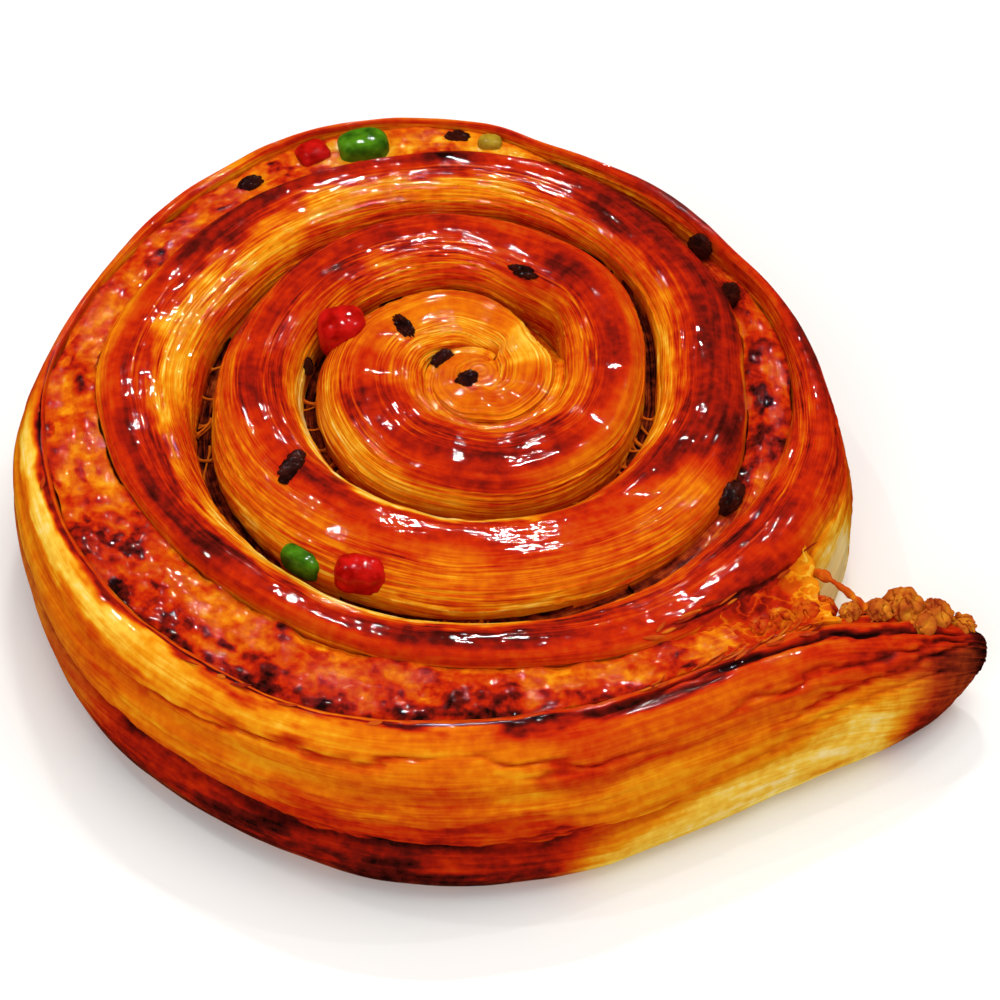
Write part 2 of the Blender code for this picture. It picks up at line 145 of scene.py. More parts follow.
# shape of the strip
# A place along the strip is an angle in degrees that keeps growing: 360 more is one turn further out.
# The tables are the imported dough's own: (place, value) in degrees and millimetres.
coil = {
    "start": -660.0,
    "end": 1005.0,
    "turn": 360.0,
    "gap": 0.3,                # room between dough and custard in the solids
    "coreRadius": 2.2,         # inside of the very first turn
    "crownPower": 2.4,         # roundness of the strip's top, 2 is an ellipse
    "flankPower": 2.1,
    "rimDrop": 0.5,            # dough rim under the custard's height
    "undercut": 2.2,           # how far the free side draws in at the base
    "throat": 4.0,             # custard's width low in a wide seam
    "kneeHeights": (10.0, 15.5),   # mm, where a wall under the custard bends
    "foot": 0.7,               # mm, the bevel under the strip
    "undercutPower": 2.3,
    "coreRamp": (-315, -300),  # places between which the core's hole widens to the first wound rim
    "seamCloses": (660, 686),  # places between which the ledges under the last custard run out
    "comesFree": (660, 690),   # places between which the outer side leaves the custard
    "rollWaves": ((0.35, 3.1, 0.7), (0.21, 7.3, 2.1)),     # unevenness: height in mm, rate, start
    "outerEdge": (
        (-660, 3.3), (-570, 6.0), (-480, 8.2), (-400, 10.0), (-320, 12.2), (-270, 16.5), (-225, 20.5),
        (-180, 24.2), (-90, 24.4), (0, 24.3), (45, 29.0), (90, 32.8), (135, 35.3), (180, 39.0),
        (215, 41.3), (270, 41.2), (325, 40.9), (360, 39.0), (380, 40.6), (400, 41.9), (420, 44.3),
        (450, 46.4), (480, 48.4), (510, 52.6), (540, 56.0), (555, 54.6), (575, 52.5), (600, 51.0),
        (630, 51.0), (655, 52.8), (670, 55.0), (686, 58.5), (702, 57.0), (720, 52.3), (740, 49.2),
        (754, 48.1), (764, 48.9), (776, 50.1), (788, 50.6), (798, 51.9), (810, 55.3), (823, 57.6),
        (839, 59.8), (848, 61.2), (858, 61.9), (880, 62.6), (895, 65.3), (908, 68.9), (925, 70.4),
        (946, 72.2), (960, 72.0), (980, 72.8), (1005, 71.4),
    ),
    "seamWidth": (
        (-660, 1.3), (-335, 1.3), (-306, 3.4), (-278, 1.3), (-180, 1.6), (0, 1.3), (90, 1.3), (180, 1.6),
        (215, 1.7), (300, 2.0), (325, 2.7), (360, 6.4), (380, 4.4), (400, 2.8), (420, 1.7), (436, 2.7),
        (450, 6.2), (465, 7.8), (480, 8.6), (495, 7.0), (525, 5.2), (540, 6.5), (555, 8.3), (575, 10.3),
        (600, 10.5), (630, 8.0), (655, 5.3), (670, 3.5), (686, 2.6),
    ),
    "custardTop": (
        (-660, 24.0), (-350, 23.9), (-306, 16.5), (-270, 22.6), (-225, 22.0), (-180, 19.0), (-60, 19.0),
        (20, 21.5), (110, 21.5), (160, 19.5), (220, 19.5), (300, 21.5), (360, 21.5), (410, 20.0),
        (450, 22.2), (510, 22.8), (555, 23.6), (655, 23.6), (686, 21.0),
    ),
    "crestHeight": (
        (-660, 24.5), (-400, 25.0), (-180, 26.2), (180, 26.5), (360, 25.6), (540, 25.6), (655, 25.2),
        (700, 24.6), (760, 23.6), (810, 23.2), (900, 24.4), (990, 24.6), (1005, 24.4),
    ),
    "crestPlace": (
        (-660, 0.5), (-300, 0.5), (-120, 0.56), (0, 0.68), (60, 0.55), (120, 0.68), (180, 0.55),
        (240, 0.28), (270, 0.24), (325, 0.39), (360, 0.56), (400, 0.58), (450, 0.78), (480, 0.84),
        (540, 0.8), (600, 0.7), (655, 0.66), (686, 0.46), (720, 0.48), (800, 0.45), (850, 0.38),
        (880, 0.28), (905, 0.16), (1005, 0.12),
    ),
    "bellyHeight": ((675, 5.0), (720, 8.0), (780, 12.0), (908, 12.0), (935, 8.5), (970, 4.8), (1005, 4.2)),
    "creaseDepth": ((895, 0.0), (925, 0.7), (960, 1.0), (990, 0.8), (1005, 0.6)),
    "creases": ((1.5, 0.55, 0.75), (1.83, 1.0, 0.2)),     # place down the side, share inwards and down
    "creaseWidth": 0.06,
    "tailStep": 10.0,                                     # places between two stations of the tail
    "tailPace": 0.9,                                      # mm along the tail for one place
    # on the tail, as shares of its height: the inner rim and its fall to the tip, the belly and its rise
    "tailRim": (0.93, 0.35),
    "tailBelly": (0.18, 0.22),
    "tailKnees": (0.3, 0.5),
    "tailUndercut": 0.3,                                  # at most this share of its width
    # the loose tail: inner x, y, outer x, y, crest, lift of the underside, crest place
    "tail": (
        (29.0, -50.3, 34.6, -61.8, 24.0, 0.0, 0.14),
        (37.9, -45.2, 43.2, -57.6, 23.4, 0.0, 0.20),
        (45.8, -40.6, 50.4, -54.2, 22.2, 0.0, 0.28),
        (52.4, -37.9, 57.2, -51.2, 20.6, 0.3, 0.36),
        (59.0, -36.4, 63.6, -47.6, 18.6, 1.2, 0.42),
        (65.0, -36.6, 68.6, -43.2, 16.0, 3.2, 0.48),
        (69.2, -37.4, 71.0, -40.2, 13.6, 6.5, 0.50),
    ),
}


def smoothCurve(knots):
    # a cubic through the knots, its slopes harmonic means, so that it never overshoots between two of them
    x, y = np.array(knots, float).T
    step = np.diff(x)
    slope = np.diff(y) / step
    near = 2 * step[1:] + step[:-1]
    far = step[1:] + 2 * step[:-1]
    rising = slope[:-1] * slope[1:] > 0
    before = np.where(rising, slope[:-1], 1)
    after = np.where(rising, slope[1:], 1)
    middle = np.where(rising, (near + far) / (near / before + far / after), 0)
    tangent = np.concatenate([slope[:1], middle, slope[-1:]])

    def value(place):
        place = np.clip(place, x[0], x[-1])
        i = np.clip(np.searchsorted(x, place, side="right") - 1, 0, len(step) - 1)
        t = (place - x[i]) / step[i]
        start = (1 + 2 * t) * (1 - t) ** 2 * y[i] + t * (1 - t) ** 2 * step[i] * tangent[i]
        return start + t * t * (3 - 2 * t) * y[i + 1] + t * t * (t - 1) * step[i] * tangent[i + 1]

    return value


outerEdge = smoothCurve(coil["outerEdge"])
seamWidth = smoothCurve(coil["seamWidth"])
custardTop = smoothCurve(coil["custardTop"])
crestHeight = smoothCurve(coil["crestHeight"])
crestPlace = smoothCurve(coil["crestPlace"])
bellyHeight = smoothCurve(coil["bellyHeight"])
creaseDepth = smoothCurve(coil["creaseDepth"])


def smoothStep(low, high, value):
    t = np.clip((value - low) / (high - low), 0, 1)
    return t * t * (3 - 2 * t)


def window(value, low, high, fadeIn, fadeOut):
    # 1 between low and high, with a smooth rise just after low and a smooth fall just before high
    return smoothStep(low, low + fadeIn, value) * (1 - smoothStep(high - fadeOut, high, value))


def innerEdge(place):
    # the last turn's outer rim and the seam, or the small hole in the core
    wound = outerEdge(place - coil["turn"]) + seamWidth(place - coil["turn"])
    first = outerEdge(coil["start"]) + seamWidth(coil["start"])
    hole = coil["coreRadius"] + (first - coil["coreRadius"]) * smoothStep(*coil["coreRamp"], place)
    return np.where(place >= coil["coreRamp"][1], wound, hole)


def ledge(place):
    # how far the dough closes in on the custard, low down, from each side of a wide seam
    spare = np.maximum(0, seamWidth(place) - coil["throat"])
    return 0.5 * spare * (1 - smoothStep(*coil["seamCloses"], place))


def freedom(place):
    # 0 where the strip's outer side meets custard, 1 where that side is free
    return smoothStep(*coil["comesFree"], place)


def unevenness(place):
    # the slow rise and fall of hand-rolled dough: sines along the strip
    turn = np.radians(place)
    return sum(height * np.sin(rate * turn + start) for height, rate, start in coil["rollWaves"])


def tailCurves():
    # the tail's stations as smooth curves over the place, from the coil's last section to the tip
    end = np.array(coil["end"])
    turn = math.radians(coil["end"])
    inner, outer = innerEdge(end), outerEdge(end)
    first = (inner * math.cos(turn), inner * math.sin(turn), outer * math.cos(turn), outer * math.sin(turn),
             crestHeight(end) + unevenness(end), 0.0, crestPlace(end))
    rows = np.array([first, *coil["tail"]], float)
    places = coil["end"] + coil["tailStep"] * np.arange(len(rows))
    return [smoothCurve(np.stack([places, rows[:, k]], 1)) for k in range(rows.shape[1])], places[-1]


tailParts, stripEnd = tailCurves()


def sectionFrame(place):
    # what shapes the strip at each place: where its inner rim is, the direction across, and its heights
    def pick(onTail, inCoil):
        return np.where(place > coil["end"], onTail, inCoil)

    turn = np.radians(place)
    inner = innerEdge(place)
    xi, yi, xo, yo, tailCrest, lift, tailCrestAt = (curve(place) for curve in tailParts)
    share = np.clip((place - coil["end"]) / (stripEnd - coil["end"]), 0, 1)
    width = pick(np.hypot(xo - xi, yo - yi), outerEdge(place) - inner)
    crest = pick(tailCrest, crestHeight(place) + unevenness(place))
    lift = pick(lift, 0)
    tall = crest - lift
    rimIn = custardTop(np.maximum(place - coil["turn"], coil["start"])) - coil["rimDrop"]
    rim, fall = coil["tailRim"]
    belly, rise = coil["tailBelly"]
    creasesFrom, creasesEnd = coil["creaseDepth"][0][0], coil["creaseDepth"][-1][1]
    kneeLow, kneeHigh = (pick(lift + on * tall, inside)
                         for on, inside in zip(coil["tailKnees"], coil["kneeHeights"]))
    return {
        "x": pick(xi, inner * np.cos(turn)),
        "y": pick(yi, inner * np.sin(turn)),
        "across": np.stack([pick((xo - xi) / width, np.cos(turn)),
                            pick((yo - yi) / width, np.sin(turn))], -1),
        "width": width, "crest": crest, "lift": lift, "kneeLow": kneeLow, "kneeHigh": kneeHigh,
        "crestAt": pick(tailCrestAt, crestPlace(place)) * width,
        "rimIn": pick(lift + tall * (rim - fall * share), rimIn),
        "rimOut": pick(crest, custardTop(place) - coil["rimDrop"]),
        "belly": pick(lift + tall * (belly + rise * share), bellyHeight(place)),
        "free": pick(1.0, freedom(place)),
        "ledgeIn": pick(0, ledge(place - coil["turn"])),
        "ledgeOut": pick(0, ledge(place)),
        "undercut": np.minimum(coil["undercut"], pick(coil["tailUndercut"] * width, coil["undercut"])),
        "crease": pick(creasesEnd * (1 - share), np.where(place > creasesFrom, creaseDepth(place), 0)),
    }


def blendKnots(around, knots):
    # straight runs between knots: around is where on the way, knots are (around, value or array of values)
    value = knots[0][1]
    for (low, before), (high, after) in zip(knots[:-1], knots[1:]):
        value = value + (after - before) * np.clip((around - low) / (high - low), 0, 1)
    return value


def stripOutline(section, around):
    # distance across and height of the closed outline. around runs -1 to 0 up the inner wall, 0 to 1 from
    # the inner rim to the crest and 1 to 2 down to the outer rim or belly, both as quarters of a
    # superellipse, 2 to 3 down the outer wall, free or against the custard, and 3 to 4 back below the strip
    g = {key: np.asarray(value)[:, None] for key, value in section.items() if key != "across"}
    c = around[None, :]
    wide, crest, crestAt, lift, free = (g[key] for key in ("width", "crest", "crestAt", "lift", "free"))
    ledgeIn, ledgeOut, foot = g["ledgeIn"], g["ledgeOut"], coil["foot"]
    rimOut = g["rimOut"] + (g["belly"] - g["rimOut"]) * free
    power = 2 / coil["crownPower"]
    outerPower = 2 / (coil["crownPower"] + (coil["flankPower"] - coil["crownPower"]) * free)
    rising = np.clip(c, 0, 1) * math.pi / 2
    falling = np.clip(2 - c, 0, 1) * math.pi / 2
    s = crestAt * (1 - np.cos(rising) ** power)
    z = g["rimIn"] + (crest - g["rimIn"]) * np.sin(rising) ** power
    sOut = wide - (wide - crestAt) * (1 - np.maximum(np.cos(falling), 0) ** outerPower)
    zOut = rimOut + (crest - rimOut) * np.maximum(np.sin(falling), 0) ** outerPower
    for at, inward, down in coil["creases"]:
        groove = g["crease"] * np.exp(-((c - at) / coil["creaseWidth"]) ** 2)
        sOut = sOut - inward * groove
        zOut = zOut - down * groove
    s = np.where(c > 1, sOut, s)
    z = np.where(c > 1, zOut, z)
    innerFoot = np.minimum(foot, 0.2 * wide) - ledgeIn
    innerWall = blendKnots(c, ((-1.0, innerFoot), (-0.9, -ledgeIn), (-0.6, -ledgeIn), (-0.3, -0.5 * ledgeIn),
                               (0.0, 0)))
    innerRise = blendKnots(c, ((-1.0, lift), (-0.9, lift + foot), (-0.6, g["kneeLow"]),
                               (-0.3, g["kneeHigh"]), (0.0, g["rimIn"])))
    reach = wide + ledgeOut
    coveredWall = blendKnots(c, ((2.0, wide), (2.3, wide + 0.5 * ledgeOut), (2.6, reach), (2.95, reach),
                                 (3.0, reach - foot)))
    kneeLow, kneeHigh = coil["kneeHeights"]
    coveredRise = blendKnots(c, ((2.0, rimOut), (2.3, kneeHigh), (2.6, kneeLow), (2.95, foot), (3.0, 0)))
    height = np.clip(3 - c, 0, 1)
    freeWall = wide - g["undercut"] * (1 - height) ** coil["undercutPower"]
    freeRise = lift + height * (g["belly"] - lift)
    wall = coveredWall + (freeWall - coveredWall) * free
    rise = coveredRise + (freeRise - coveredRise) * free
    s = np.where(c > 2, wall, np.where(c < 0, innerWall, s))
    z = np.where(c > 2, rise, np.where(c < 0, innerRise, z))
    s = np.where(c > 3, wall + (innerFoot - wall) * np.clip(c - 3, 0, 1), s)
    return s, np.where(c > 3, lift, z)


def stripPoints(place, around):
    # the outline set up at each place: inner rim + direction across x distance, and the height
    section = sectionFrame(place)
    s, z = stripOutline(section, around)
    x = section["x"][:, None] + section["across"][:, :1] * s
    y = section["y"][:, None] + section["across"][:, 1:] * s
    return np.stack([x, y, z + 0 * x], -1)


# noise and paint

def valueNoise(x, y, seed):
    # random values on a grid of whole numbers, joined by smooth weights, from 0 to 1
    table = np.random.default_rng(seed).random((256, 256))
    i = np.floor(x).astype(int)
    j = np.floor(y).astype(int)
    a = x - i
    b = y - j
    a = a * a * (3 - 2 * a)
    b = b * b * (3 - 2 * b)
    i, j, k, m = i % 256, j % 256, (i + 1) % 256, (j + 1) % 256
    low = table[i, j] * (1 - a) + table[k, j] * a
    high = table[i, m] * (1 - a) + table[k, m] * a
    return low * (1 - b) + high * b


def clouds(x, y, strength, length, width, seed, octaves=3):
    # value noise about 0 with lumps of that length and width, and finer ones at halving sizes and strengths
    total = 0
    for n in range(octaves):
        total = total + (valueNoise(x / length * 2 ** n, y / width * 2 ** n, seed + n) - 0.5) / 2 ** n
    return strength * total


def unit(vectors):
    # the same directions, each of length 1
    return vectors / np.maximum(np.linalg.norm(vectors, axis=-1, keepdims=True), 1e-9)


def alongStrip(place):
    # mm along the strip's middle: the radius summed over the angle, and even steps on the tail
    fine = np.arange(coil["start"], stripEnd + 1, 1.0)
    radius = 0.5 * (innerEdge(fine) + outerEdge(fine))
    step = np.where(fine > coil["end"], coil["tailPace"], np.radians(radius))
    return np.interp(place, fine, np.cumsum(step))


def rowPlaces(first, last, spacing):
    # places along the strip, evenly spaced in mm
    low, high = alongStrip(np.array([first, last]))
    fine = np.linspace(first, last, 4000)
    return np.interp(np.linspace(low, high, int((high - low) / spacing) + 1), alongStrip(fine), fine)


def paint(level, place, around, strokes, ragged):
    # strokes laid over each other: each runs from one place to another at a height on the strip, fades at
    # its ends and sides, and pulls the level towards its own value
    for first, last, start, end, width, value, strength in strokes:
        middle = start + (end - start) * np.clip((place - first) / (last - first), 0, 1)
        fade = min(10.0, 0.35 * (last - first))
        mask = window(place, first - 0.5 * fade, last + 0.5 * fade, fade, fade) * strength
        mask = mask * np.exp(-np.abs((around + ragged - middle) / width) ** 3)
        level = level + (value - level) * mask
    return level


def gridMesh(name, points, layU, layV, values, material):
    # closed skins over grids of points in mm, one grid or a stack of them: rows run along the piece, columns
    # go round it, and one face closes each end. layU and layV place each corner on the unrolled skin in mm,
    # as an array or an even step. values are how baked it is, how dry, and how strong its lines are
    points = points.reshape(-1, *points.shape[-3:])
    parts, rows, columns = points.shape[:3]
    i = np.arange(rows - 1)[:, None] * columns
    j = np.arange(columns)[None, :]
    k = (j + 1) % columns
    quads = np.stack([i + j, i + k, i + k + columns, i + j + columns], -1).reshape(-1, 4)
    flat = points.reshape(-1, 3)
    a, b, c, d = (flat[quads[:, n]] - flat[:rows * columns].mean(0) for n in range(4))
    outward = np.einsum("ij,ij->", a, np.cross(b, c) + np.cross(c, d)) > 0
    order = [0, 1, 2, 3] if outward else [3, 2, 1, 0]
    first = np.arange(columns)
    last = first + (rows - 1) * columns
    caps = np.stack([first[::-1], last] if outward else [first, last[::-1]])
    shift = np.arange(parts)[:, None, None] * rows * columns
    quads = (quads[:, order] + shift).reshape(-1, 4)
    caps = (caps + shift).reshape(-1, columns)
    mesh = bpy.data.meshes.new(name)
    mesh.from_pydata((flat * mm).tolist(), [], quads.tolist() + caps.tolist())
    mesh.validate()
    closing = layV if np.isscalar(layV) else 1.0           # mm from the last column back to the first
    u = np.arange(rows)[:, None] * layU if np.isscalar(layU) else layU
    v = np.arange(columns)[None, :] * layV if np.isscalar(layV) else layV
    u, v = (np.broadcast_to(lay, (parts, rows, columns)) for lay in (u, v))
    u = np.concatenate([u, u[..., -1:]], -1)
    v = np.concatenate([v, v[..., -1:] + closing], -1)
    uv = np.stack([u, v], -1) / skinUnit
    corner = [uv[:, :-1, :-1], uv[:, :-1, 1:], uv[:, 1:, 1:], uv[:, 1:, :-1]]
    corner = np.stack([corner[n] for n in order], 3).reshape(-1, 2)
    ends = uv[:, [0, -1], :-1].reshape(-1, 2)
    layer = mesh.uv_layers.new(name="lay")
    layer.data.foreach_set("uv", np.concatenate([corner, ends]).astype(np.float32).ravel())
    for key, value in zip(("bake", "dry", "lines"), values):
        attribute = mesh.attributes.new(key, 'FLOAT', 'POINT')
        value = np.broadcast_to(value, (parts, rows, columns)).astype(np.float32)
        attribute.data.foreach_set("value", value.ravel())
    mesh.shade_smooth()
    mesh.set_sharp_from_angle(angle=math.radians(70))
    mesh.materials.append(material)
    piece = bpy.data.objects.new(name, mesh)
    bpy.context.scene.collection.objects.link(piece)
    return piece


def pushOut(points, height):
    # moves each point of a closed grid along its normal, the cross product of the two directions on the skin
    along = np.gradient(points, axis=0)
    around = 0.5 * (np.roll(points, -1, 1) - np.roll(points, 1, 1))
    return points + unit(np.cross(around, along)) * height[..., None]


def settle(piece, node):
    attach(piece, "root")
    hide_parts(node)


# finishes

# Laminated dough baked with an egg wash and brushed with hot syrup: sugars brown from pale yellow through
# orange and dark red to nearly black, more on the crests than in the folds, under a thin clear glaze.
crust = {
    "glazed": (
        (0.0, "#F7DC94"), (0.12, "#F4C444"), (0.28, "#E69414"), (0.42, "#DC6E0A"), (0.56, "#C8480A"),
        (0.68, "#BF2808"), (0.78, "#9A190B"), (0.88, "#5E120C"), (1.0, "#1C0705"),
    ),
    "dry": (
        (0.0, "#FAE8A2"), (0.12, "#F2D052"), (0.28, "#DE9E2E"), (0.42, "#C8741E"), (0.56, "#AE521A"),
        (0.68, "#903614"), (0.78, "#6E2410"), (0.88, "#44130A"), (1.0, "#160504"),
    ),
    "streakLength": 7.0,        # mm, the layers' lines along the strip
    "streakWidth": 0.32,        # mm, one pair of layers
    "streakDepth": 0.66,        # share of the whole browning range
    "mottleSize": 1.6,          # mm
    "mottleDepth": 0.30,
    "rippleLength": 3.6,        # mm, waves in the set glaze, along and across the strip
    "rippleWidth": 1.2,
    "rippleHeight": 0.038,      # mm
    "streakHeight": 0.03,
    "roughness": 0.6,
    "coat": 0.6,
    "coatRoughness": 0.04,
}


def setRamp(node, stops):
    ramp = node.color_ramp
    while len(ramp.elements) < len(stops):
        ramp.elements.new(0.5)
    for element, (place, colour) in zip(ramp.elements, stops):
        element.position = place
        element.color = linear(colour)


def crustMaterial(name, look):
    material, tree, shader = newMaterial(name, {"Roughness": look["roughness"], "Specular IOR Level": 0.0,
                                                "Coat Roughness": look["coatRoughness"]})
    bake, dry, lines = (addNode(tree, "Attribute", {"attribute_name": key}).outputs["Fac"]
                        for key in ("bake", "dry", "lines"))
    lay = addNode(tree, "UVMap", {"uv_map": "lay"})
    # the layers' lines and the waves of the glaze: noise stretched along the strip, each as relief too
    pattern = {}
    for key, detail, bend, socket in (("streak", 3.0, 0.0, "Normal"), ("ripple", 0.6, 1.0, "Coat Normal")):
        stretch = (skinUnit / look[key + "Length"], skinUnit / look[key + "Width"], 1.0)
        run = addNode(tree, "Mapping", {"Scale": stretch}, {"Vector": lay.outputs["UV"]})
        settings = {"noise_dimensions": '2D', "Scale": 1.0, "Detail": detail, "Distortion": bend}
        noise = addNode(tree, "TexNoise", settings, {"Vector": run.outputs["Vector"]})
        relief = addNode(tree, "Bump", {"Distance": look[key + "Height"] * mm},
                         {"Height": noise.outputs["Fac"]})
        tree.links.new(relief.outputs["Normal"], shader.inputs[socket])
        pattern[key] = noise.outputs["Fac"]
    where = addNode(tree, "TexCoord")
    mottle = addNode(tree, "TexNoise", {"Scale": 1 / mm / look["mottleSize"], "Detail": 4.0},
                     {"Vector": where.outputs["Object"]})
    streaked = addNode(tree, "Math", {"operation": 'MULTIPLY_ADD'},
                       {0: pattern["streak"], 1: lines, 2: bake})
    level = addNode(tree, "Math", {"operation": 'MULTIPLY_ADD', 1: look["mottleDepth"]},
                    {0: mottle.outputs["Fac"], 2: streaked.outputs["Value"]})
    mixed = addNode(tree, "Mix", {"data_type": 'RGBA'}, {"Factor": dry})
    for key, side in (("glazed", "A"), ("dry", "B")):
        ramp = addNode(tree, "ValToRGB", None, {"Fac": level.outputs["Value"]})
        setRamp(ramp, look[key])
        tree.links.new(ramp.outputs["Color"], mixed.inputs[side])
    tree.links.new(mixed.outputs["Result"], shader.inputs["Base Color"])
    glaze = addNode(tree, "Math", {"operation": 'MULTIPLY_ADD', 1: -look["coat"], 2: look["coat"]},
                    {0: dry})
    tree.links.new(glaze.outputs["Value"], shader.inputs["Coat Weight"])
    return material


crustFinish = crustMaterial("glazedLaminatedDough", crust)


# the dough: one strip, cut into lengths that meet face to face inside the coil

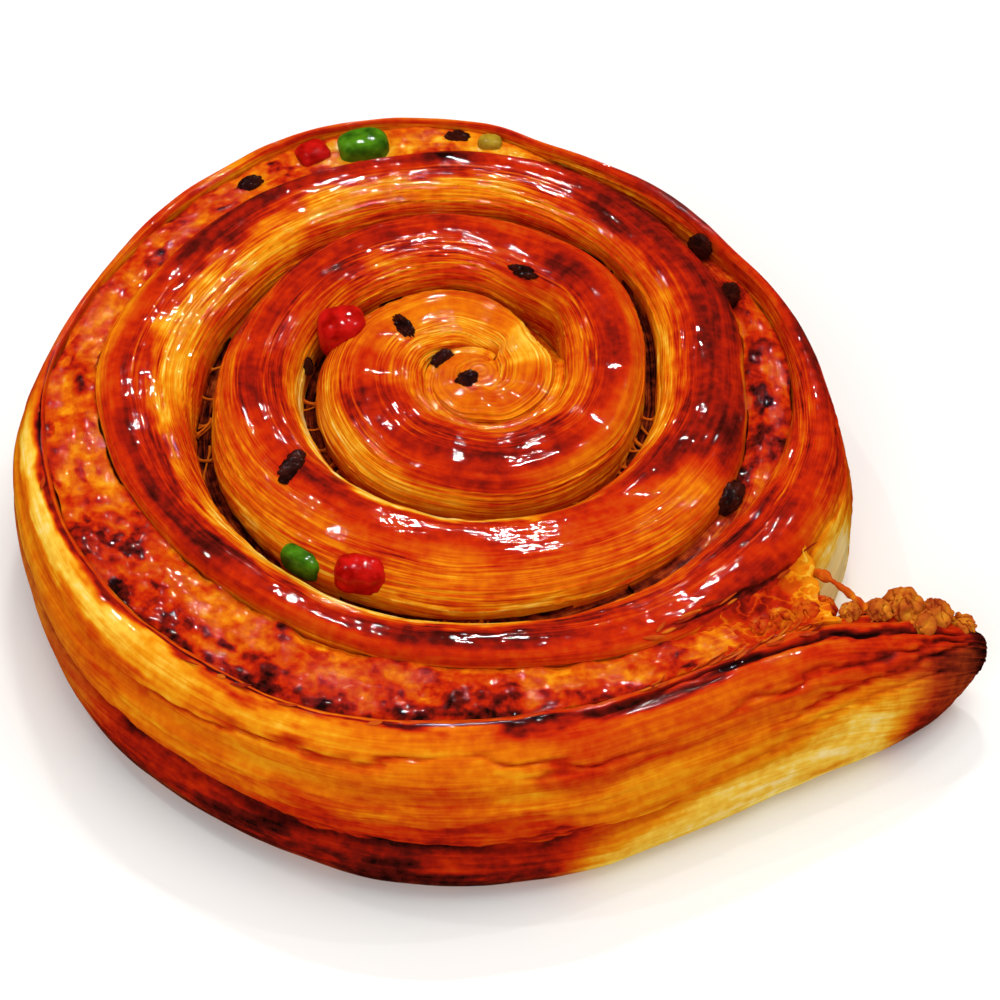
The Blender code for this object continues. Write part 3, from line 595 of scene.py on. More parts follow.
dough = {
    "spacing": 0.32,           # mm between rows
    # name: first and last place, columns on the inner wall, inner top, outer top, outer wall and underside
    "lengths": {
        "doughCore": (-660.0, -140.0, (6, 34, 36, 8, 4)),
        "doughInnerTurn": (-140.0, 210.0, (6, 40, 44, 8, 4)),
        "doughMiddleTurn": (210.0, 430.0, (6, 40, 44, 8, 4)),
        "doughThirdTurn": (430.0, 640.0, (6, 44, 48, 8, 4)),
        "doughOuterBack": (640.0, 850.0, (6, 40, 60, 30, 6)),
        "doughOuterFront": (850.0, 960.0, (6, 34, 80, 40, 6)),
        "doughTail": (960.0, 1075.0, (6, 34, 80, 40, 6)),
    },
    "layerWidth": 0.95,        # mm across one baked pair of layers
    "layerRuns": 15,           # mm along the strip over which one layer's edge comes and goes
    "flank": (0.7, 2.2),       # mm from the crest: the cut layers open between these
    "inset": 0.2,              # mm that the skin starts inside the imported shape
    # noise: strength, length along the strip and width across it in mm, seed, octaves
    "drift": (0.9, 26, 6, 3),              # mm that the layers' lines wander
    "crestDrift": (1.4, 34, 1, 5),         # mm that the cut edges wander
    "fineLayers": (1.0, 11, 0.62, 11),
    "broadLayers": (0.7, 24, 1.5, 21),
    "swell": (1.0, 9, 4.5, 31, 2),
    "grain": (0.05, 1.5, 1.5, 41),         # mm
    "ragged": (0.20, 5, 1.6, 51),          # how far the strokes' edges wander
    # relief in mm, with the swell's loss on closed crust
    "height": {"layers": 0.10, "swell": 0.45, "closedSwell": -0.20, "cuts": 0.42, "folds": -0.8},
    # browning: what all has, what the crest adds, and what each relief adds; what the folds add is painted
    # shade in the creases
    "bake": {"base": 0.49, "crest": 0.24, "swell": 0.20, "layers": 0.10, "cuts": -0.16, "folds": 0.22},
    # lines: share left on the crest, share lost on closed crust and on dark crust, and what counts as dark
    "lines": {"crest": 0.25, "closed": 0.72, "dark": 0.55, "darkFrom": (0.64, 0.78)},
    "linePatches": (13, 2.1, 57),          # mm over which the lines come and go, and seed
    # closed crust: first place, last place, from and to across the strip
    "closed": (
        (300, 545, 1.0, 2.0), (200, 345, 0.5, 1.3), (545, 720, 0.9, 2.0), (-140, 120, 0.75, 1.5),
        (690, 1090, 0.85, 3.3),
    ),
    # unglazed crust: first and last place, lowest height on the strip, share
    "unglazed": ((860, 950, 1.55, 0.9), (1040, 1120, 1.2, 0.9)),
    # creases: first place, last place, height on the strip at each end, width, strength
    "folds": (
        (940, 990, 1.48, 1.21, 0.030, 0.8), (984, 1014, 1.21, 1.46, 0.030, 0.8),
        (905, 1018, 1.82, 1.80, 0.035, 1.0), (930, 990, 1.62, 1.58, 0.022, 0.3),
        (950, 1012, 1.70, 1.64, 0.026, 0.35), (1000, 1070, 0.98, 1.04, 0.045, 1.0),
        (1010, 1070, 1.36, 1.16, 0.035, 0.8), (1018, 1070, 1.56, 1.28, 0.032, 0.7),
        (1004, 1062, 1.76, 1.48, 0.030, 0.5), (1036, 1074, 0.75, 0.80, 0.040, 0.7),
        (700, 905, 1.28, 1.34, 0.030, 0.6), (720, 900, 1.62, 1.55, 0.032, 0.8),
        (760, 912, 1.86, 1.92, 0.030, 0.6), (696, 820, 2.10, 2.16, 0.040, 0.7),
        (820, 925, 2.32, 2.20, 0.040, 0.5), (690, 760, 1.45, 1.40, 0.025, 0.6),
        (655, 700, 1.30, 1.45, 0.030, 0.6),
    ),
    # first place, last place, height on the strip at each end, width, browning, strength
    "strokes": (
        # core
        (-660, -300, 0.8, 0.8, 0.9, 0.40, 0.8), (-350, -290, 1.1, 1.3, 0.45, 0.18, 0.85),
        (-300, -165, 0.5, 0.5, 0.8, 0.44, 0.8), (-300, -170, 1.2, 1.2, 0.5, 0.48, 0.8),
        (-190, -150, 0.95, 0.95, 0.25, 0.62, 0.8), (-168, -60, 1.0, 0.85, 0.28, 0.75, 0.9),
        (-180, -90, 1.55, 1.65, 0.25, 0.30, 0.9), (-120, -60, 1.30, 1.30, 0.25, 0.72, 0.8),
        # second turn
        (-75, 60, 0.25, 0.3, 0.40, 0.47, 0.8), (-75, 200, 0.86, 0.92, 0.28, 0.78, 0.95),
        (-75, 40, 1.35, 1.35, 0.25, 0.53, 0.8), (180, 345, 0.02, 0.05, 0.09, 0.14, 0.95),
        (45, 72, 0.12, 0.18, 0.14, 0.80, 0.8), (60, 170, 0.35, 0.40, 0.35, 0.60, 0.8),
        (30, 175, 1.5, 1.5, 0.55, 0.77, 0.9), (165, 215, 0.22, 0.18, 0.25, 0.20, 0.9),
        (205, 300, 0.45, 0.45, 0.5, 0.72, 0.85), (198, 345, 0.86, 0.86, 0.22, 0.77, 0.9),
        (186, 244, 0.20, 0.63, 0.14, 0.10, 0.95), (230, 294, 0.66, 0.66, 0.14, 0.10, 0.95),
        (284, 342, 0.64, 0.28, 0.14, 0.10, 0.95), (170, 285, 1.45, 1.45, 0.35, 0.52, 0.8),
        (205, 300, 1.78, 1.86, 0.07, 0.28, 0.8),
        # third turn
        (285, 330, 0.4, 0.4, 0.6, 0.70, 0.8), (325, 400, 0.28, 0.32, 0.30, 0.36, 0.9),
        (385, 450, 0.3, 0.3, 0.35, 0.52, 0.8), (440, 565, 0.68, 0.62, 0.20, 0.32, 0.9),
        (410, 560, 0.18, 0.18, 0.22, 0.62, 0.85), (555, 650, 0.35, 0.35, 0.35, 0.48, 0.8),
        (570, 700, 0.48, 0.40, 0.16, 0.18, 0.9), (300, 430, 0.95, 0.90, 0.24, 0.78, 0.9),
        (420, 560, 0.98, 0.98, 0.18, 0.82, 0.85), (550, 650, 0.92, 0.92, 0.2, 0.86, 0.9),
        (285, 330, 1.35, 1.35, 0.3, 0.50, 0.8), (330, 520, 1.45, 1.45, 0.5, 0.84, 0.9),
        (345, 400, 1.82, 1.82, 0.10, 0.38, 0.8), (400, 545, 1.93, 1.93, 0.06, 0.28, 0.8),
        (515, 548, 1.4, 1.4, 0.4, 0.42, 0.8), (545, 650, 1.5, 1.5, 0.45, 0.72, 0.8),
        # outer turn
        (640, 705, 0.5, 0.5, 0.6, 0.74, 0.8), (640, 700, 0.62, 0.62, 0.12, 0.88, 0.8),
        (655, 710, 1.3, 1.3, 0.3, 0.80, 0.8), (690, 860, 0.6, 0.6, 0.6, 0.73, 0.8),
        (860, 1000, 0.3, 0.3, 0.35, 0.66, 0.8), (845, 905, 0.80, 0.76, 0.08, 0.26, 0.8),
        (684, 716, 2.2, 2.2, 0.8, -0.15, 0.95), (706, 745, 2.2, 2.2, 0.5, 0.30, 0.8),
        (760, 880, 0.10, 0.10, 0.25, 0.42, 0.85), (950, 1000, 0.70, 0.74, 0.13, 0.44, 0.8),
        (885, 1010, 0.90, 0.91, 0.11, 0.92, 0.95), (893, 956, 1.24, 1.20, 0.16, 0.10, 1.0),
        (944, 992, 1.18, 1.15, 0.14, 0.30, 0.9), (975, 1040, 1.30, 1.30, 0.25, 0.47, 0.8),
        (900, 1004, 1.55, 1.52, 0.22, 0.44, 0.85), (940, 1012, 1.62, 1.60, 0.20, 0.42, 0.85),
        (700, 905, 1.5, 1.5, 0.6, 0.70, 0.85), (696, 800, 1.15, 1.15, 0.3, 0.80, 0.85),
        (790, 895, 1.05, 1.10, 0.3, 0.50, 0.8), (890, 1000, 2.0, 1.9, 0.30, 0.68, 0.8),
        (872, 940, 1.80, 1.75, 0.30, 0.28, 0.85), (868, 945, 2.45, 2.40, 0.6, 0.42, 0.85),
        (955, 1008, 2.03, 2.01, 0.16, 0.86, 0.9), (938, 1002, 2.45, 2.30, 0.5, 0.88, 0.95),
        (700, 940, 2.6, 2.6, 0.8, 0.60, 0.8),
        # tail
        (1000, 1075, 0.5, 0.5, 0.5, 0.60, 0.8), (1000, 1062, 0.95, 1.0, 0.09, 0.86, 0.8),
        (1000, 1062, 1.32, 1.32, 0.24, 0.60, 0.85), (1003, 1052, 1.85, 1.62, 0.20, 0.28, 0.9),
        (1001, 1054, 2.15, 1.85, 0.22, 0.09, 0.9), (1000, 1050, 2.7, 2.6, 0.55, 0.08, 0.95),
        (1046, 1090, 2.4, 1.9, 0.7, 0.85, 0.95), (1054, 1090, 1.5, 1.4, 0.4, 0.82, 0.9),
        (1068, 1085, 1.5, 1.5, 2.0, 0.93, 1.0),
    ),
}


def terraces(u, distance):
    # cut edges of the layers: the distance from the crest falls into bands, and in each the skin rises
    # slowly and drops at its end. Each band has its own strength, which changes slowly along the strip
    band = distance / dough["layerWidth"]
    index = np.floor(band)
    share = band - index
    strength = smoothStep(0.3, 0.75, valueNoise(index * 1.37 + 7.3, u / dough["layerRuns"], 13))
    rise = share - smoothStep(0.82, 1.0, share) - 0.4
    return strength * rise, strength * np.exp(-((share - 0.8) / 0.16) ** 2)


def crustPatch(place, around):
    # 1 where the top is closed, smooth crust with no open layers
    patch = 0
    for first, last, low, high in dough["closed"]:
        patch = np.maximum(patch, window(place, first, last, 45, 45) * window(around, low, high, 0.15, 0.15))
    return patch


def foldMask(place, around, ragged):
    # 1 in the narrow creases of the outer side and the tail, fading at the ends of each
    fold = 0
    for first, last, start, end, width, strength in dough["folds"]:
        middle = start + (end - start) * np.clip((place - first) / (last - first), 0, 1)
        crease = np.exp(-((around + ragged - middle) / width) ** 2)
        fold = np.maximum(fold, crease * window(place, first, last, 12, 10) * strength)
    return fold


def doughSkin(name, points, layU, layV, *values):
    # a piece with the dough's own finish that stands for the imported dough
    settle(gridMesh(name, points, layU, layV, values, crustFinish), "dough_coil")


def doughPiece(name, first, last, counts):
    # the strip's outline at even steps along it, pushed out by swell, layers, cut edges and folds
    place = rowPlaces(first, last, dough["spacing"])
    stops = (-1.0, 0.0, 1.0, 2.0, 3.0, 4.0)
    around = [np.linspace(a, b, n, endpoint=False) for a, b, n in zip(stops, stops[1:], counts)]
    around = np.concatenate(around)
    points = stripPoints(place, around)
    u = alongStrip(place)[:, None]
    path = np.diff(points, axis=1, append=points[:, :1])
    v = np.cumsum(np.linalg.norm(path, axis=2), axis=1)
    v = v - v[:, np.argmin(np.abs(around - 1.0))][:, None]          # mm from the crest
    c = around[None, :]
    p = place[:, None]
    free = freedom(p)
    shown = window(c, -0.4, 3.2, 0.5, 0.2) * np.where(c > 2, free, 1.0)
    drifted = v + clouds(u, v, *dough["drift"])
    layers = clouds(u, drifted, *dough["fineLayers"]) + clouds(u, drifted, *dough["broadLayers"])
    swell = clouds(u, v, *dough["swell"])
    down, edge = terraces(u, np.abs(v) + clouds(u, 0.5, *dough["crestDrift"]))
    flank = smoothStep(*dough["flank"], np.abs(v))
    smooth = crustPatch(p, c)
    cut = shown * flank * (1 - smooth)
    ragged = clouds(u, v, *dough["ragged"]) + 0.04 * layers
    fold = foldMask(p, c, 0.5 * ragged) * shown
    height = dough["height"]
    fine = height["layers"] * (0.35 + 0.65 * flank) * layers + clouds(u, v, *dough["grain"])
    relief = fine * (1 - 0.6 * smooth) + (height["swell"] + height["closedSwell"] * smooth) * swell
    relief = shown * relief + height["cuts"] * cut * down + height["folds"] * fold
    points = pushOut(points, relief - dough["inset"])
    points[..., 2] = np.maximum(points[..., 2], 0)
    bake = dough["bake"]
    level = bake["base"] + bake["crest"] * np.exp(-((c - 1.02) / 0.4) ** 2)
    level = paint(level, p, c, dough["strokes"], ragged)
    level = level + bake["swell"] * swell + bake["layers"] * layers
    # painted shade: the folds darken the creases of the outer side and the tail
    level = level + bake["cuts"] * cut * edge + bake["folds"] * fold
    dry = smoothStep(2.0, 2.3, c) * free
    for first, last, low, share in dough["unglazed"]:
        dry = np.maximum(dry, share * window(p, first, last, 25, 25) * smoothStep(low, low + 0.25, c))
    look = dough["lines"]
    runs, wide, seed = dough["linePatches"]
    lines = crust["streakDepth"] * (look["crest"] + (1 - look["crest"]) * flank)
    lines = lines * (1 - look["closed"] * smooth) * (0.35 + 1.3 * valueNoise(u / runs, v / wide, seed))
    lines = lines * (1 - look["dark"] * smoothStep(*look["darkFrom"], level))
    # the material's own noise lies about 0.5, so half of each goes off here
    level = level - 0.5 * lines - 0.5 * crust["mottleDepth"]
    doughSkin(name, points, u, v, level, dry, lines)


for name, (first, last, counts) in dough["lengths"].items():
    doughPiece(name, first, last, counts)
    print(name, "is in place")


# the custard between the turns

custard = {
    "lengths": {"custardInner": (-660.0, 300.0), "custardOuter": (300.0, 667.5)},
    "base": 0.4,
    "spacing": 0.35,
    "columns": 44,
    "overlap": 0.6,            # mm that its skin reaches past the gap, so that it meets the dough
    "seamDrop": 1.5,           # mm that it has sunk in the narrow seams
    "dome": 0.6,               # mm that it bulges at most, and as a share of its width
    "domeShare": 0.12,
    "narrow": (2.2, 4.5),      # mm: widths of a narrow seam and a full band, for its drop and its blisters
    "wide": (2.5, 6.0),
    "coreEnds": (-315, -285),  # places between which the sunk seam begins
    # noise: strength, length and width in mm, seed
    "blisters": (1.0, 3.2, 2.4, 61),
    "swell": (1.0, 8, 5, 71),
    "grain": (0.12, 1.3, 1.1, 81),
    "spots": (1.0, 3.4, 2.4, 91),
    "ragged": (0.25, 4, 2, 95),
    "height": {"blisters": 0.8, "swell": 0.7, "inset": 0.1},     # mm
    # browning levels; the narrow one is painted shade, the dark that the sunk custard of a narrow seam is
    # pulled to
    "bake": {"base": 0.40, "wide": 0.18, "swell": 0.16, "blisters": 0.34, "spots": 0.28, "most": 0.90,
             "narrow": 0.84},
    "lines": (0.06, 0.55),     # in a full band, and what a narrow seam adds
    "finish": {"mottleSize": 1.5, "mottleDepth": 0.75, "rippleLength": 2.6, "rippleWidth": 1.8,
               "rippleHeight": 0.11},
    # as the dough's, from 0 at the inner rim to 1 at the outer
    "strokes": (
        # the first two strokes are painted shade: the dark slit of the core's narrow seam, and the shade
        # along the inner rim of the seam from place 330 to 400
        (-180, -30, 0.5, 0.5, 0.8, 0.86, 0.9), (330, 400, 0.2, 0.3, 0.25, 0.88, 0.8),
        (340, 400, 0.75, 0.75, 0.3, 0.70, 0.8), (440, 480, 0.5, 0.5, 0.5, 0.30, 0.9),
        (480, 540, 0.5, 0.5, 0.6, 0.55, 0.7), (572, 650, 0.82, 0.74, 0.26, 0.74, 0.75),
        (575, 655, 0.97, 0.90, 0.12, 0.90, 0.9),
    ),
}


def custardPiece(name, first, last, material):
    # a low dome from rim to rim at even steps along the seam, with walls down to a flat base
    place = rowPlaces(first, last, custard["spacing"])
    p = place[:, None]
    gap = coil["gap"] - custard["overlap"]
    low = outerEdge(p) + gap
    width = innerEdge(p + coil["turn"]) - gap - low
    k = np.linspace(0, 1, custard["columns"])[None, :]
    arch = 4 * k * (1 - k)
    narrow = (1 - smoothStep(*custard["narrow"], width)) * smoothStep(*custard["coreEnds"], p)
    wide = smoothStep(*custard["wide"], width)
    z = custardTop(p) - coil["rimDrop"] - custard["seamDrop"] * narrow * arch ** 0.3
    z = z + np.minimum(custard["dome"], custard["domeShare"] * width) * arch ** 0.6
    kneeLow, kneeHigh = coil["kneeHeights"]
    levels = np.array([[kneeHigh, kneeLow, custard["base"]]]) + 0 * p
    insets = ledge(p) * np.array([[0.5, 1.0, 1.0]])
    r = np.concatenate([low + width * k, low + width - insets, (low + insets)[:, ::-1]], 1)
    z = np.concatenate([z, levels, levels[:, ::-1]], 1)
    points = np.stack([r * np.cos(np.radians(p)), r * np.sin(np.radians(p)), z], -1)
    u = alongStrip(place)[:, None]
    across = np.concatenate([width * k, width + 5 + 0 * levels, -5 + 0 * levels], 1)
    walls = np.zeros((1, levels.shape[1]))
    k, shown = (np.concatenate([top, far, walls], 1) for top, far in ((k, walls + 1), (0 * k + 1, walls)))
    blisters, swell, grain, spots, ragged = (clouds(u, across, *custard[key])
                                             for key in ("blisters", "swell", "grain", "spots", "ragged"))
    height = custard["height"]
    relief = wide * (height["blisters"] * blisters + height["swell"] * swell) + grain
    points = pushOut(points, shown * relief - height["inset"])
    bake = custard["bake"]
    level = bake["base"] + bake["wide"] * wide + bake["swell"] * swell
    level = paint(level, p, k, custard["strokes"], ragged)
    spots = smoothStep(0.20, 0.34, spots) * (0.35 + 0.65 * k)
    level = np.minimum(level + wide * (bake["blisters"] * blisters + bake["spots"] * spots), bake["most"])
    # painted shade: the custard sunk in a narrow seam is pulled to the dark level of the slit
    level = level + (bake["narrow"] - level) * narrow
    lines = custard["lines"][0] + custard["lines"][1] * (1 - wide)
    level = level - 0.5 * lines - 0.5 * custard["finish"]["mottleDepth"]
    settle(gridMesh(name, points, u, across, (level, narrow, lines), material), "custard_swirl")


custardFinish = crustMaterial("brownedCustard", {**crust, **custard["finish"]})
for name, (first, last) in custard["lengths"].items():
    custardPiece(name, first, last, custardFinish)
print("custard is in place")


# small torn things: the core's middle, the web in the notch, crags, flakes and threads of dough

torn = {
    # the core's middle, in mm
    "button": {"radius": 3.3, "foot": 14.0, "height": 24.2, "rise": 0.5, "ridge": 0.03, "ridgeWidth": 0.9,
               "grain": (0.1, 1.5, 1.5, 219)},
    # the web between the third turn and the tail: each side's first and last place and first and last
    # height on the strip, its sag in mm from its start to its mouth, and mm that its start lies deeper
    "web": {
        "inner": (641.0, 686.0, 1.98, 1.34),
        "outer": (999.0, 1038.0, 0.0, 0.70),
        "rows": 170,
        "columns": 90,
        "sag": (-0.8, 2.2),
        "dip": 2.2,
        "base": 5.0,
        "relief": 0.65,
        "rough": (1.0, 3.2, 2.4, 203, 4),  # noise: strength, length and width in mm, seed, octaves
        "crumble": (1.0, 1.9, 1.5, 207),
        "mouth": (1.5, 1.6, 1, 211),       # mm that its open end is torn in and out
        # shares of its length: where the relief grows, where it calms down, where the dip ends, and where
        # it turns pale
        "growth": (0.25, 0.6),
        "calm": (0.85, 1.0),
        "dipEnd": (0.30, 0.58),
        "paleEnd": (0.84, 0.97),
        "bake": {"base": 0.54, "rough": 0.26, "crumbs": -0.18, "mouth": -0.34, "outer": 0.20},
    },
    "crags": {
        # x, y, z and radius in mm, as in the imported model
        "centres": (
            (58.6, -37.4, 18.0, 3.0), (62.9, -37.6, 16.2, 2.6), (66.8, -38.0, 14.0, 2.2),
            (54.6, -39.0, 19.2, 2.0), (60.6, -40.0, 17.4, 2.2), (50.6, -39.8, 20.4, 1.6),
            (38.4, -42.8, 20.0, 2.2), (41.2, -41.0, 19.6, 2.4), (44.4, -39.2, 18.8, 2.4),
            (47.4, -37.4, 17.6, 2.1),
        ),
        "dryOnes": 6,                      # so many stand dry on the tail, the others lie in the notch
        "relief": 0.17,                    # shares of the radius
        "crease": 0.16,
        "bake": {"base": 0.34, "bumps": 0.18, "crease": 0.14, "notch": 0.08},
        "dry": (0.9, 0.7),                 # on the tail, and what the notch takes off
        "crumbs": 60,
        "crumbSize": (0.2, 0.6),           # mm
    },
    "strand": {
        # mm: its path over the gap and its radius
        "path": ((45.0, -31.0, 18.6), (47.6, -33.4, 20.2), (50.6, -36.4, 20.6), (53.0, -39.0, 19.8)),
        "radius": 0.75,
        "middle": 0.75,                    # share of the radius that its middle has
        "ends": 0.7,                       # and twice the share that each end adds
        "lumps": (0.6, 1, 1, 331),
        "bumps": (1.0, 0.8, 0.8, 337, 2),
        "bumpHeight": 0.4,
        "bake": (0.40, 0.3),               # all over, and on the bumps
    },
    "threads": {
        "seams": ((-178, -12, 34), (170, 215, 8)),     # first and last place of the seam, how many
        "lean": 2.5,                       # degrees
        "overlap": 0.5,                    # mm that each end goes into the dough
        "level": (-1.6, 0.6),              # mm from the custard's top
        "sag": 1.6,                        # mm, four times that of the middle
        "radius": (0.10, 0.24),            # mm
        "thicker": 2.2,                    # share that the ends add
    },
    "flakes": {
        # first and last place, from and to across the strip, how many
        "patches": (
            (905, 1000, 0.98, 1.04, 8), (1008, 1060, 0.3, 1.0, 40), (655, 690, 1.2, 1.5, 12),
            (400, 545, 1.88, 1.98, 24),
        ),
        "swing": 0.25,                     # radians off the strip's direction
        "length": (1.2, 3.6),              # mm
        "width": (0.12, 0.34),
        "thickness": 0.07,
        "sunk": 0.12,
        "curl": (0.0, 0.32),               # share of the length
        "bake": (0.34, 0.66),
    },
}


def ringTurns(columns):
    return np.linspace(0, 2 * math.pi, columns, endpoint=False)


def buttonPiece():
    # a low dome over a cylinder, its radius and height given ring by ring, with spiral ridges on top
    button = torn["button"]
    radius, height = button["radius"], button["height"]
    share = np.linspace(0, 1, 40)[1:]
    ring = np.concatenate([[radius, radius], radius * (1 - share * 0.97)])[:, None]
    dome = height + button["rise"] * np.sin(share * math.pi / 2)
    level = np.concatenate([[button["foot"], height - 1], dome])[:, None]
    turn = ringTurns(96)[None, :]
    ridges = button["ridge"] * np.sin(2 * math.pi * ring / button["ridgeWidth"] - turn) * (level > height)
    x, y = ring * np.cos(turn), ring * np.sin(turn)
    bake = 0.30 + 1.6 * ridges + clouds(x, y, *button["grain"])
    doughSkin("doughButton", np.stack([x, y, level + ridges], -1), ring, 0.2, bake, 0, 0)


def webPiece():
    # straight lines from the third turn's outer flank to the tail's inner rim, sagging between them, with
    # crumbly noise on top and a plain skin below
    web = torn["web"]
    row = np.arange(web["rows"])
    share = np.linspace(0, 1, web["rows"])
    sides = []
    for first, last, low, high in (web["inner"], web["outer"]):
        grid = stripPoints(first + (last - first) * share, low + (high - low) * share ** 0.6)
        sides.append(grid[row, row][:, None])
    share = share[:, None]
    k = np.linspace(-0.05, 1.05, web["columns"])[None, :]
    top = sides[0] + (sides[1] - sides[0]) * k[..., None]
    sag = web["sag"][0] + (web["sag"][1] - web["sag"][0]) * share
    rough = clouds(top[..., 0], top[..., 1], *web["rough"])
    crumble = 1 - 2 * np.abs(clouds(top[..., 0], top[..., 1], *web["crumble"]))
    growth = smoothStep(*web["growth"], share)
    calm = 1 - 0.55 * smoothStep(*web["calm"], share)
    height = web["relief"] * (0.1 + 0.9 * growth) * calm * (1.6 * rough + 0.7 * crumble - 0.5)
    top[..., 2] += height - sag * np.clip(4 * k * (1 - k), -0.5, 1)
    top[..., 2] -= web["dip"] * (1 - smoothStep(*web["dipEnd"], share))
    mouth = share ** 8 * clouds(top[..., 1], 3.3, *web["mouth"])
    top[..., 0] += mouth
    top[..., 1] += 0.5 * mouth
    below = top[:, ::-6].copy()
    below[..., 2] = web["base"]
    bake = web["bake"]
    level = bake["base"] + bake["rough"] * rough + bake["crumbs"] * growth * smoothStep(0.75, 0.95, crumble)
    level = level + bake["mouth"] * smoothStep(*web["paleEnd"], share)
    level = level + bake["outer"] * smoothStep(0.6, 1.1, k) * (1 - growth)
    level = np.concatenate([level, 0 * below[..., 0] + 0.2], 1)
    doughSkin("doughWeb", np.concatenate([top, below], 1), share * 40, 0.2, level, 0, 0.05)


def ballPoints(rows, columns, power=1.0):
    # a unit ball as rows of rings from pole to pole; its cosines and sines raised to a power under 1 make it
    # squarer, a superellipsoid
    tilt = np.linspace(-math.pi / 2, math.pi / 2, rows + 2)[1:-1][:, None]
    turn = ringTurns(columns)[None, :]
    cosTilt, sinTilt, cosTurn, sinTurn = (np.sign(part) * np.abs(part) ** power for part in
                                          (np.cos(tilt), np.sin(tilt), np.cos(turn), np.sin(turn)))
    return np.stack([cosTilt * cosTurn, cosTilt * sinTurn, sinTilt + 0 * turn], -1)


def cragPieces():
    # balls pushed in and out by noise of their own directions; the crumbs are tiny ones strewn about them
    rng = np.random.default_rng(301)
    look = torn["crags"]
    crags = np.array(look["centres"])
    about = crags[rng.integers(0, len(crags), look["crumbs"])]
    way = rng.normal(size=(len(about), 3))
    way[:, 2] = np.abs(way[:, 2])
    size = rng.uniform(*look["crumbSize"], (len(about), 1))
    crumbs = np.concatenate([about[:, :3] + unit(way) * about[:, 3:] * 0.98, size], 1)
    for name, rows, columns, centres in (("doughCrags", 60, 80, crags), ("doughCrumbs", 6, 8, crumbs)):
        ball = ballPoints(rows, columns)[None]
        own = np.arange(len(centres))[:, None, None] * 17.0         # another stretch of noise for each
        x, y, z = (ball[..., n] for n in range(3))
        bumps = clouds(x * 2.1 + own, y * 2.1 + z * 1.3 + own, 1, 1, 1, 307, 4)
        bumps = bumps + clouds(z * 2.3 + own, x * 1.9 - y + own, 1, 1, 1, 311)
        crease = 1 - 2 * np.abs(clouds(x * 1.7 + z + own, y * 1.7 - z + own, 1, 1, 1, 313))
        radius = 0.99 + look["relief"] * bumps - look["crease"] * smoothStep(0.75, 1.0, crease)
        radius = centres[:, 3][:, None, None] * radius
        points = centres[:, None, None, :3] + ball * radius[..., None]
        inNotch = (centres[:, 0] < crags[look["dryOnes"]:, 0].max() + 1)[:, None, None]
        bake = look["bake"]
        level = bake["base"] + bake["bumps"] * bumps + bake["crease"] * smoothStep(0.8, 1.0, crease)
        dry, less = look["dry"]
        doughSkin(name, points, 0.1, 0.1, level + bake["notch"] * inNotch, dry - less * inNotch, 0)


def tubePoints(paths, radius, columns):
    # rings round each path: the ring stands across the path's direction, with a radius of its own per point
    along = unit(np.gradient(paths, axis=1))
    side = unit(np.cross(along, np.array([0.0, 0.0, 1.0])))
    up = np.cross(side, along)
    turn = ringTurns(columns)[:, None]
    ring = side[:, :, None] * np.cos(turn) + up[:, :, None] * np.sin(turn)
    return paths[:, :, None] + ring * radius[..., None, None]


def strandPiece():
    # a tube along the knots, smoothed once, thicker at both ends and lumpy
    strand = torn["strand"]
    knots = np.array(strand["path"])
    share = np.linspace(0, 1, 60)
    path = np.stack([np.interp(share, np.linspace(0, 1, len(knots)), knots[:, n]) for n in range(3)], 1)
    path[1:-1] = (path[:-2] + path[1:-1] + path[2:]) / 3
    radius = strand["middle"] + strand["ends"] * np.abs(share - 0.5)
    radius = radius + clouds(share * 9, 0.0, *strand["lumps"])
    points = tubePoints(path[None], strand["radius"] * radius[None], 20)
    bumps = clouds(points[..., 0], points[..., 2], *strand["bumps"])
    points[..., 2] += strand["bumpHeight"] * bumps
    level = strand["bake"][0] + strand["bake"][1] * bumps
    doughSkin("doughStrand", points, share[:, None] * 10, 0.1, level, 0.3, 0)


def threadPieces():
    # sticky threads across a seam: sagging lines between the two rims, thin in the middle
    rng = np.random.default_rng(341)
    threads = torn["threads"]
    share = np.linspace(0, 1, 9)[None, :]
    rows = []
    for first, last, count in threads["seams"]:
        place = np.sort(rng.uniform(first, last, count))[:, None]
        lean = rng.normal(0, threads["lean"], count)[:, None]
        turn = np.radians(place + lean * (share - 0.5))
        low = outerEdge(place) - threads["overlap"]
        high = innerEdge(place + coil["turn"]) + threads["overlap"]
        radius = low + (high - low) * share
        level = custardTop(place) + rng.uniform(*threads["level"], (count, 1))
        level = level - threads["sag"] * share * (1 - share)
        rows.append(np.stack([radius * np.cos(turn), radius * np.sin(turn), level], -1))
    paths = np.concatenate(rows)
    thin = rng.uniform(*threads["radius"], (len(paths), 1))
    thin = thin * (1 + threads["thicker"] * (2 * share - 1) ** 4)
    doughSkin("doughThreads", tubePoints(paths, thin, 7), 0.2, 0.1, 0.34, 0.4, 0)


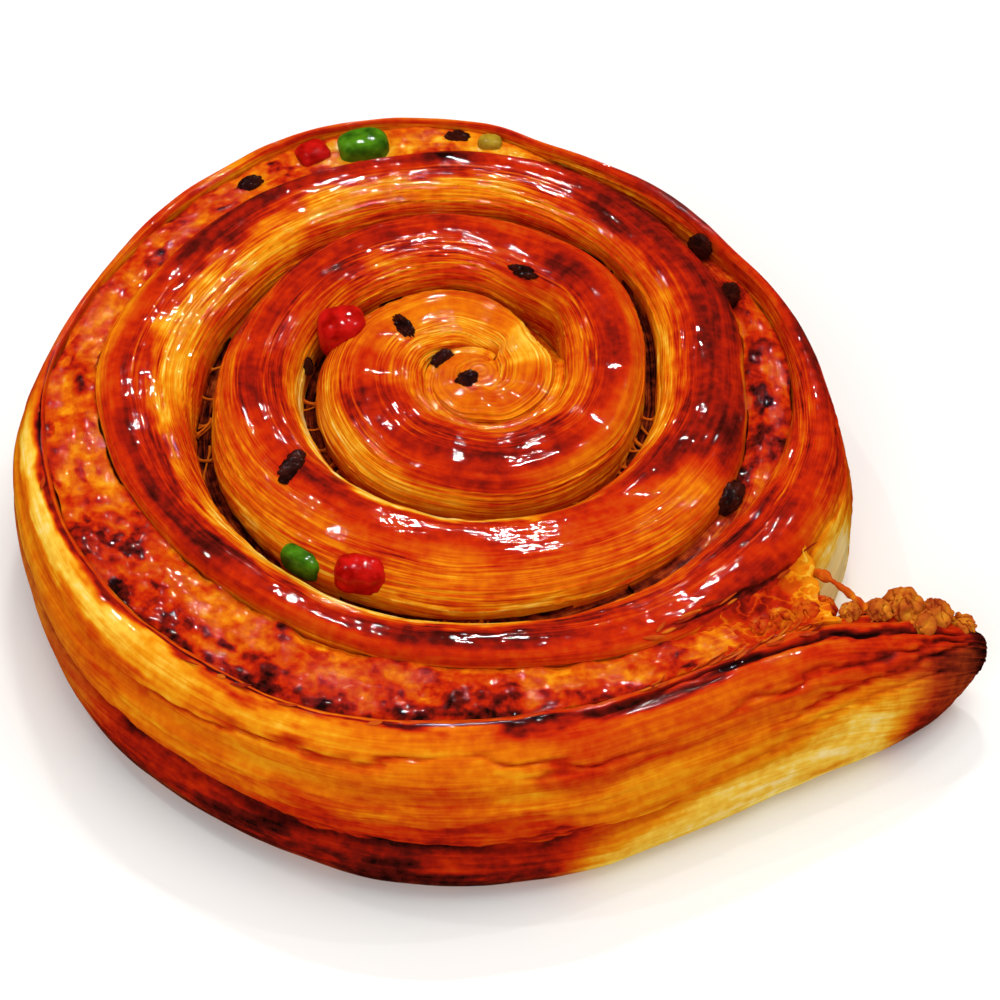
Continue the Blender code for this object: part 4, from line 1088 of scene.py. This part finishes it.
def flakePiece():
    # shards of crust: a thin lens along a line on the skin, curling up at one end and narrowing at both
    rng = np.random.default_rng(351)
    flakes = torn["flakes"]
    share = np.linspace(0, 1, 6)[None, :, None]
    turn = ringTurns(8)[None, None, :]
    stacks = []
    for first, last, low, high, count in flakes["patches"]:
        place = rng.uniform(first, last, count)
        height = rng.uniform(low, high, count)
        own = np.arange(count)
        here, ahead, over = (stripPoints(place + further, height + higher)[own, own]
                             for further, higher in ((0, 0), (0.5, 0), (0, 0.02)))
        ahead = unit(ahead - here)
        up = unit(np.cross(over - here, ahead))
        up = up * np.sign(up[:, 2:] + 1e-6)
        swing = rng.normal(0, flakes["swing"], (count, 1))
        way = ahead * np.cos(swing) + np.cross(up, ahead) * np.sin(swing)
        side = np.cross(up, way)
        size = rng.uniform(*flakes["length"], (count, 1, 1))
        wide = rng.uniform(*flakes["width"], (count, 1, 1)) * (4 * share * (1 - share) + 0.15) ** 0.6
        curl = rng.uniform(*flakes["curl"], (count, 1, 1)) * size * share ** 2 - flakes["sunk"]
        lift = curl + flakes["thickness"] * np.sin(turn) + 0.10 * wide * np.cos(turn) ** 2
        parts = ((size * (share - 0.4), way), (wide * np.cos(turn), side), (lift, up))
        stacks.append(here[:, None, None] + sum(much[..., None] * to[:, None, None] for much, to in parts))
    points = np.concatenate(stacks)
    bake = rng.uniform(*flakes["bake"], (len(points), 1, 1))
    doughSkin("doughFlakes", points, 0.2, 0.1, bake, 0.5, 0)


for makePiece in (buttonPiece, webPiece, cragPieces, strandPiece, threadPieces, flakePiece):
    makePiece()
print("torn dough is in place")


# fruit

fruit = {
    # node: x, y, top z, length, width, height in mm, turn in degrees
    "candied_cherry_core": (-20.3, 8.4, 27.2, 7.4, 7.0, 6.5, 12),
    "candied_cherry_front": (-16.1, -35.5, 25.9, 7.4, 5.0, 5.0, -8),
    "candied_cherry_back": (-26.6, 47.4, 24.0, 5.4, 5.0, 5.0, 30),
    "candied_melon_back": (-18.7, 48.9, 24.9, 8.2, 5.6, 5.4, 12),
    "candied_melon_front": (-24.4, -32.1, 23.8, 6.6, 3.4, 4.4, -36),
    "candied_citron_back": (1.3, 50.2, 23.2, 4.0, 3.2, 3.6, -4),
    "raisin_core_left": (-11.3, 7.5, 27.1, 6.0, 3.2, 3.4, 118),
    "raisin_core_near": (-5.5, 3.2, 25.2, 4.0, 3.0, 3.4, 40),
    "raisin_centre": (-1.7, -1.1, 25.3, 4.4, 3.6, 3.6, 20),
    "raisin_core_back": (6.2, 19.7, 26.0, 5.8, 2.4, 3.0, -26),
    "raisin_left": (-26.3, -18.7, 27.1, 7.0, 3.6, 3.8, 68),
    "raisin_right": (37.4, 17.6, 23.8, 4.6, 3.4, 4.0, 70),
    "raisin_right_back": (33.6, 28.4, 23.2, 4.4, 3.4, 4.0, 130),
    "raisin_right_front": (35.2, -20.6, 23.4, 6.6, 4.0, 4.2, 60),
    "raisin_back_left": (-36.2, 40.8, 23.4, 5.2, 3.2, 3.6, 42),
    "raisin_back": (-4.0, 51.4, 23.2, 5.0, 3.6, 3.8, 6),
    "raisin_seam_left": (-25.4, 4.0, 22.6, 3.0, 2.0, 2.8, 100),
}
fruitLook = {
    "rows": 72,
    "columns": 96,
    # power of the superellipsoid, 1 is an ellipsoid and near 0 a box, then depth and rate of its folds
    "shape": {"candied": (0.62, 0.03, 4.0), "raisin": (0.95, 0.16, 6.0)},
    # name, dark and light colour, roughness, share of light that goes deep
    "flesh": {
        "cherry": ("candiedCherry", "#8E0602", "#C81610", 0.4, 0.25),
        "melon": ("candiedMelon", "#254A0A", "#4F8412", 0.4, 0.2),
        "citron": ("candiedCitron", "#8E6C14", "#B89A2C", 0.4, 0.2),
        "raisin": ("raisinSkin", "#160605", "#3E140C", 0.5, 0.0),
    },
    "cloudsPerMetre": 450.0,    # each about 2.2 mm
    "bump": 0.12,               # mm
    "depth": 1.5,               # mm that light goes in
    "tintFrom": 0.35,           # where in the clouds the dark colour ends and the light one begins
    "tintTo": 0.68,
}


def fruitMaterial(name, dark, light, roughness, deep):
    # sugared flesh, or a raisin's skin: clouds of two colours under a thin syrup, with light going in
    material, tree, shader = newMaterial(name, {
        "Roughness": roughness, "Specular IOR Level": 0.0, "Coat Weight": 0.5, "Coat Roughness": 0.08,
        "Subsurface Weight": deep, "Subsurface Radius": (1.0, 0.35, 0.2),
        "Subsurface Scale": fruitLook["depth"] * mm})
    where = addNode(tree, "TexCoord")
    cloud = addNode(tree, "TexNoise", {"Scale": fruitLook["cloudsPerMetre"], "Detail": 3.0},
                    {"Vector": where.outputs["Object"]})
    tint = addNode(tree, "ValToRGB", None, {"Fac": cloud.outputs["Fac"]})
    setRamp(tint, ((fruitLook["tintFrom"], dark), (fruitLook["tintTo"], light)))
    tree.links.new(tint.outputs["Color"], shader.inputs["Base Color"])
    bump = addNode(tree, "Bump", {"Distance": fruitLook["bump"] * mm},
                   {"Height": cloud.outputs["Fac"]})
    tree.links.new(bump.outputs["Normal"], shader.inputs["Normal"])
    return material


def lumpPoints(size, power, wrinkle, rate, seed):
    # a superellipsoid of diameter 1 whose skin is pushed in and out by folds, which are sines in random
    # directions, and which then gets its size
    skin = ballPoints(fruitLook["rows"], fruitLook["columns"], power) * 0.5
    rng = np.random.default_rng(seed)
    folds = 0
    for n in range(5):
        wave = rng.normal(size=3) * rate * (1 + 0.6 * n)
        folds = folds + (1 - np.abs(np.sin(skin @ wave + rng.random() * 6.3))) / (1 + 0.7 * n)
    skin = skin * (1 - wrinkle * (folds[..., None] - 1.2))
    reach = np.abs(skin).reshape(-1, 3).max(0)
    return skin / np.maximum(reach * 2, 1) * np.array(size)


def fruitPiece(node, row, seed, materials):
    x, y, top, length, width, height, turn = row
    kind, which = node.split("_")[:2]
    key = kind if kind == "raisin" else which
    points = lumpPoints((length, width, height), *fruitLook["shape"][kind], seed)
    cos, sin = math.cos(math.radians(turn)), math.sin(math.radians(turn))
    points = points @ np.array([[cos, sin, 0], [-sin, cos, 0], [0, 0, 1]])
    points = points + np.array([x, y, top - 0.5 * height])
    settle(gridMesh(node.replace("_", "-") + "-fine", points, 0.1, 0.1, (), materials[key]), node)


fruitMaterials = {key: fruitMaterial(*values) for key, values in fruitLook["flesh"].items()}
for seed, (node, row) in enumerate(fruit.items()):
    fruitPiece(node, row, seed + 7, fruitMaterials)
print("fruit is in place")
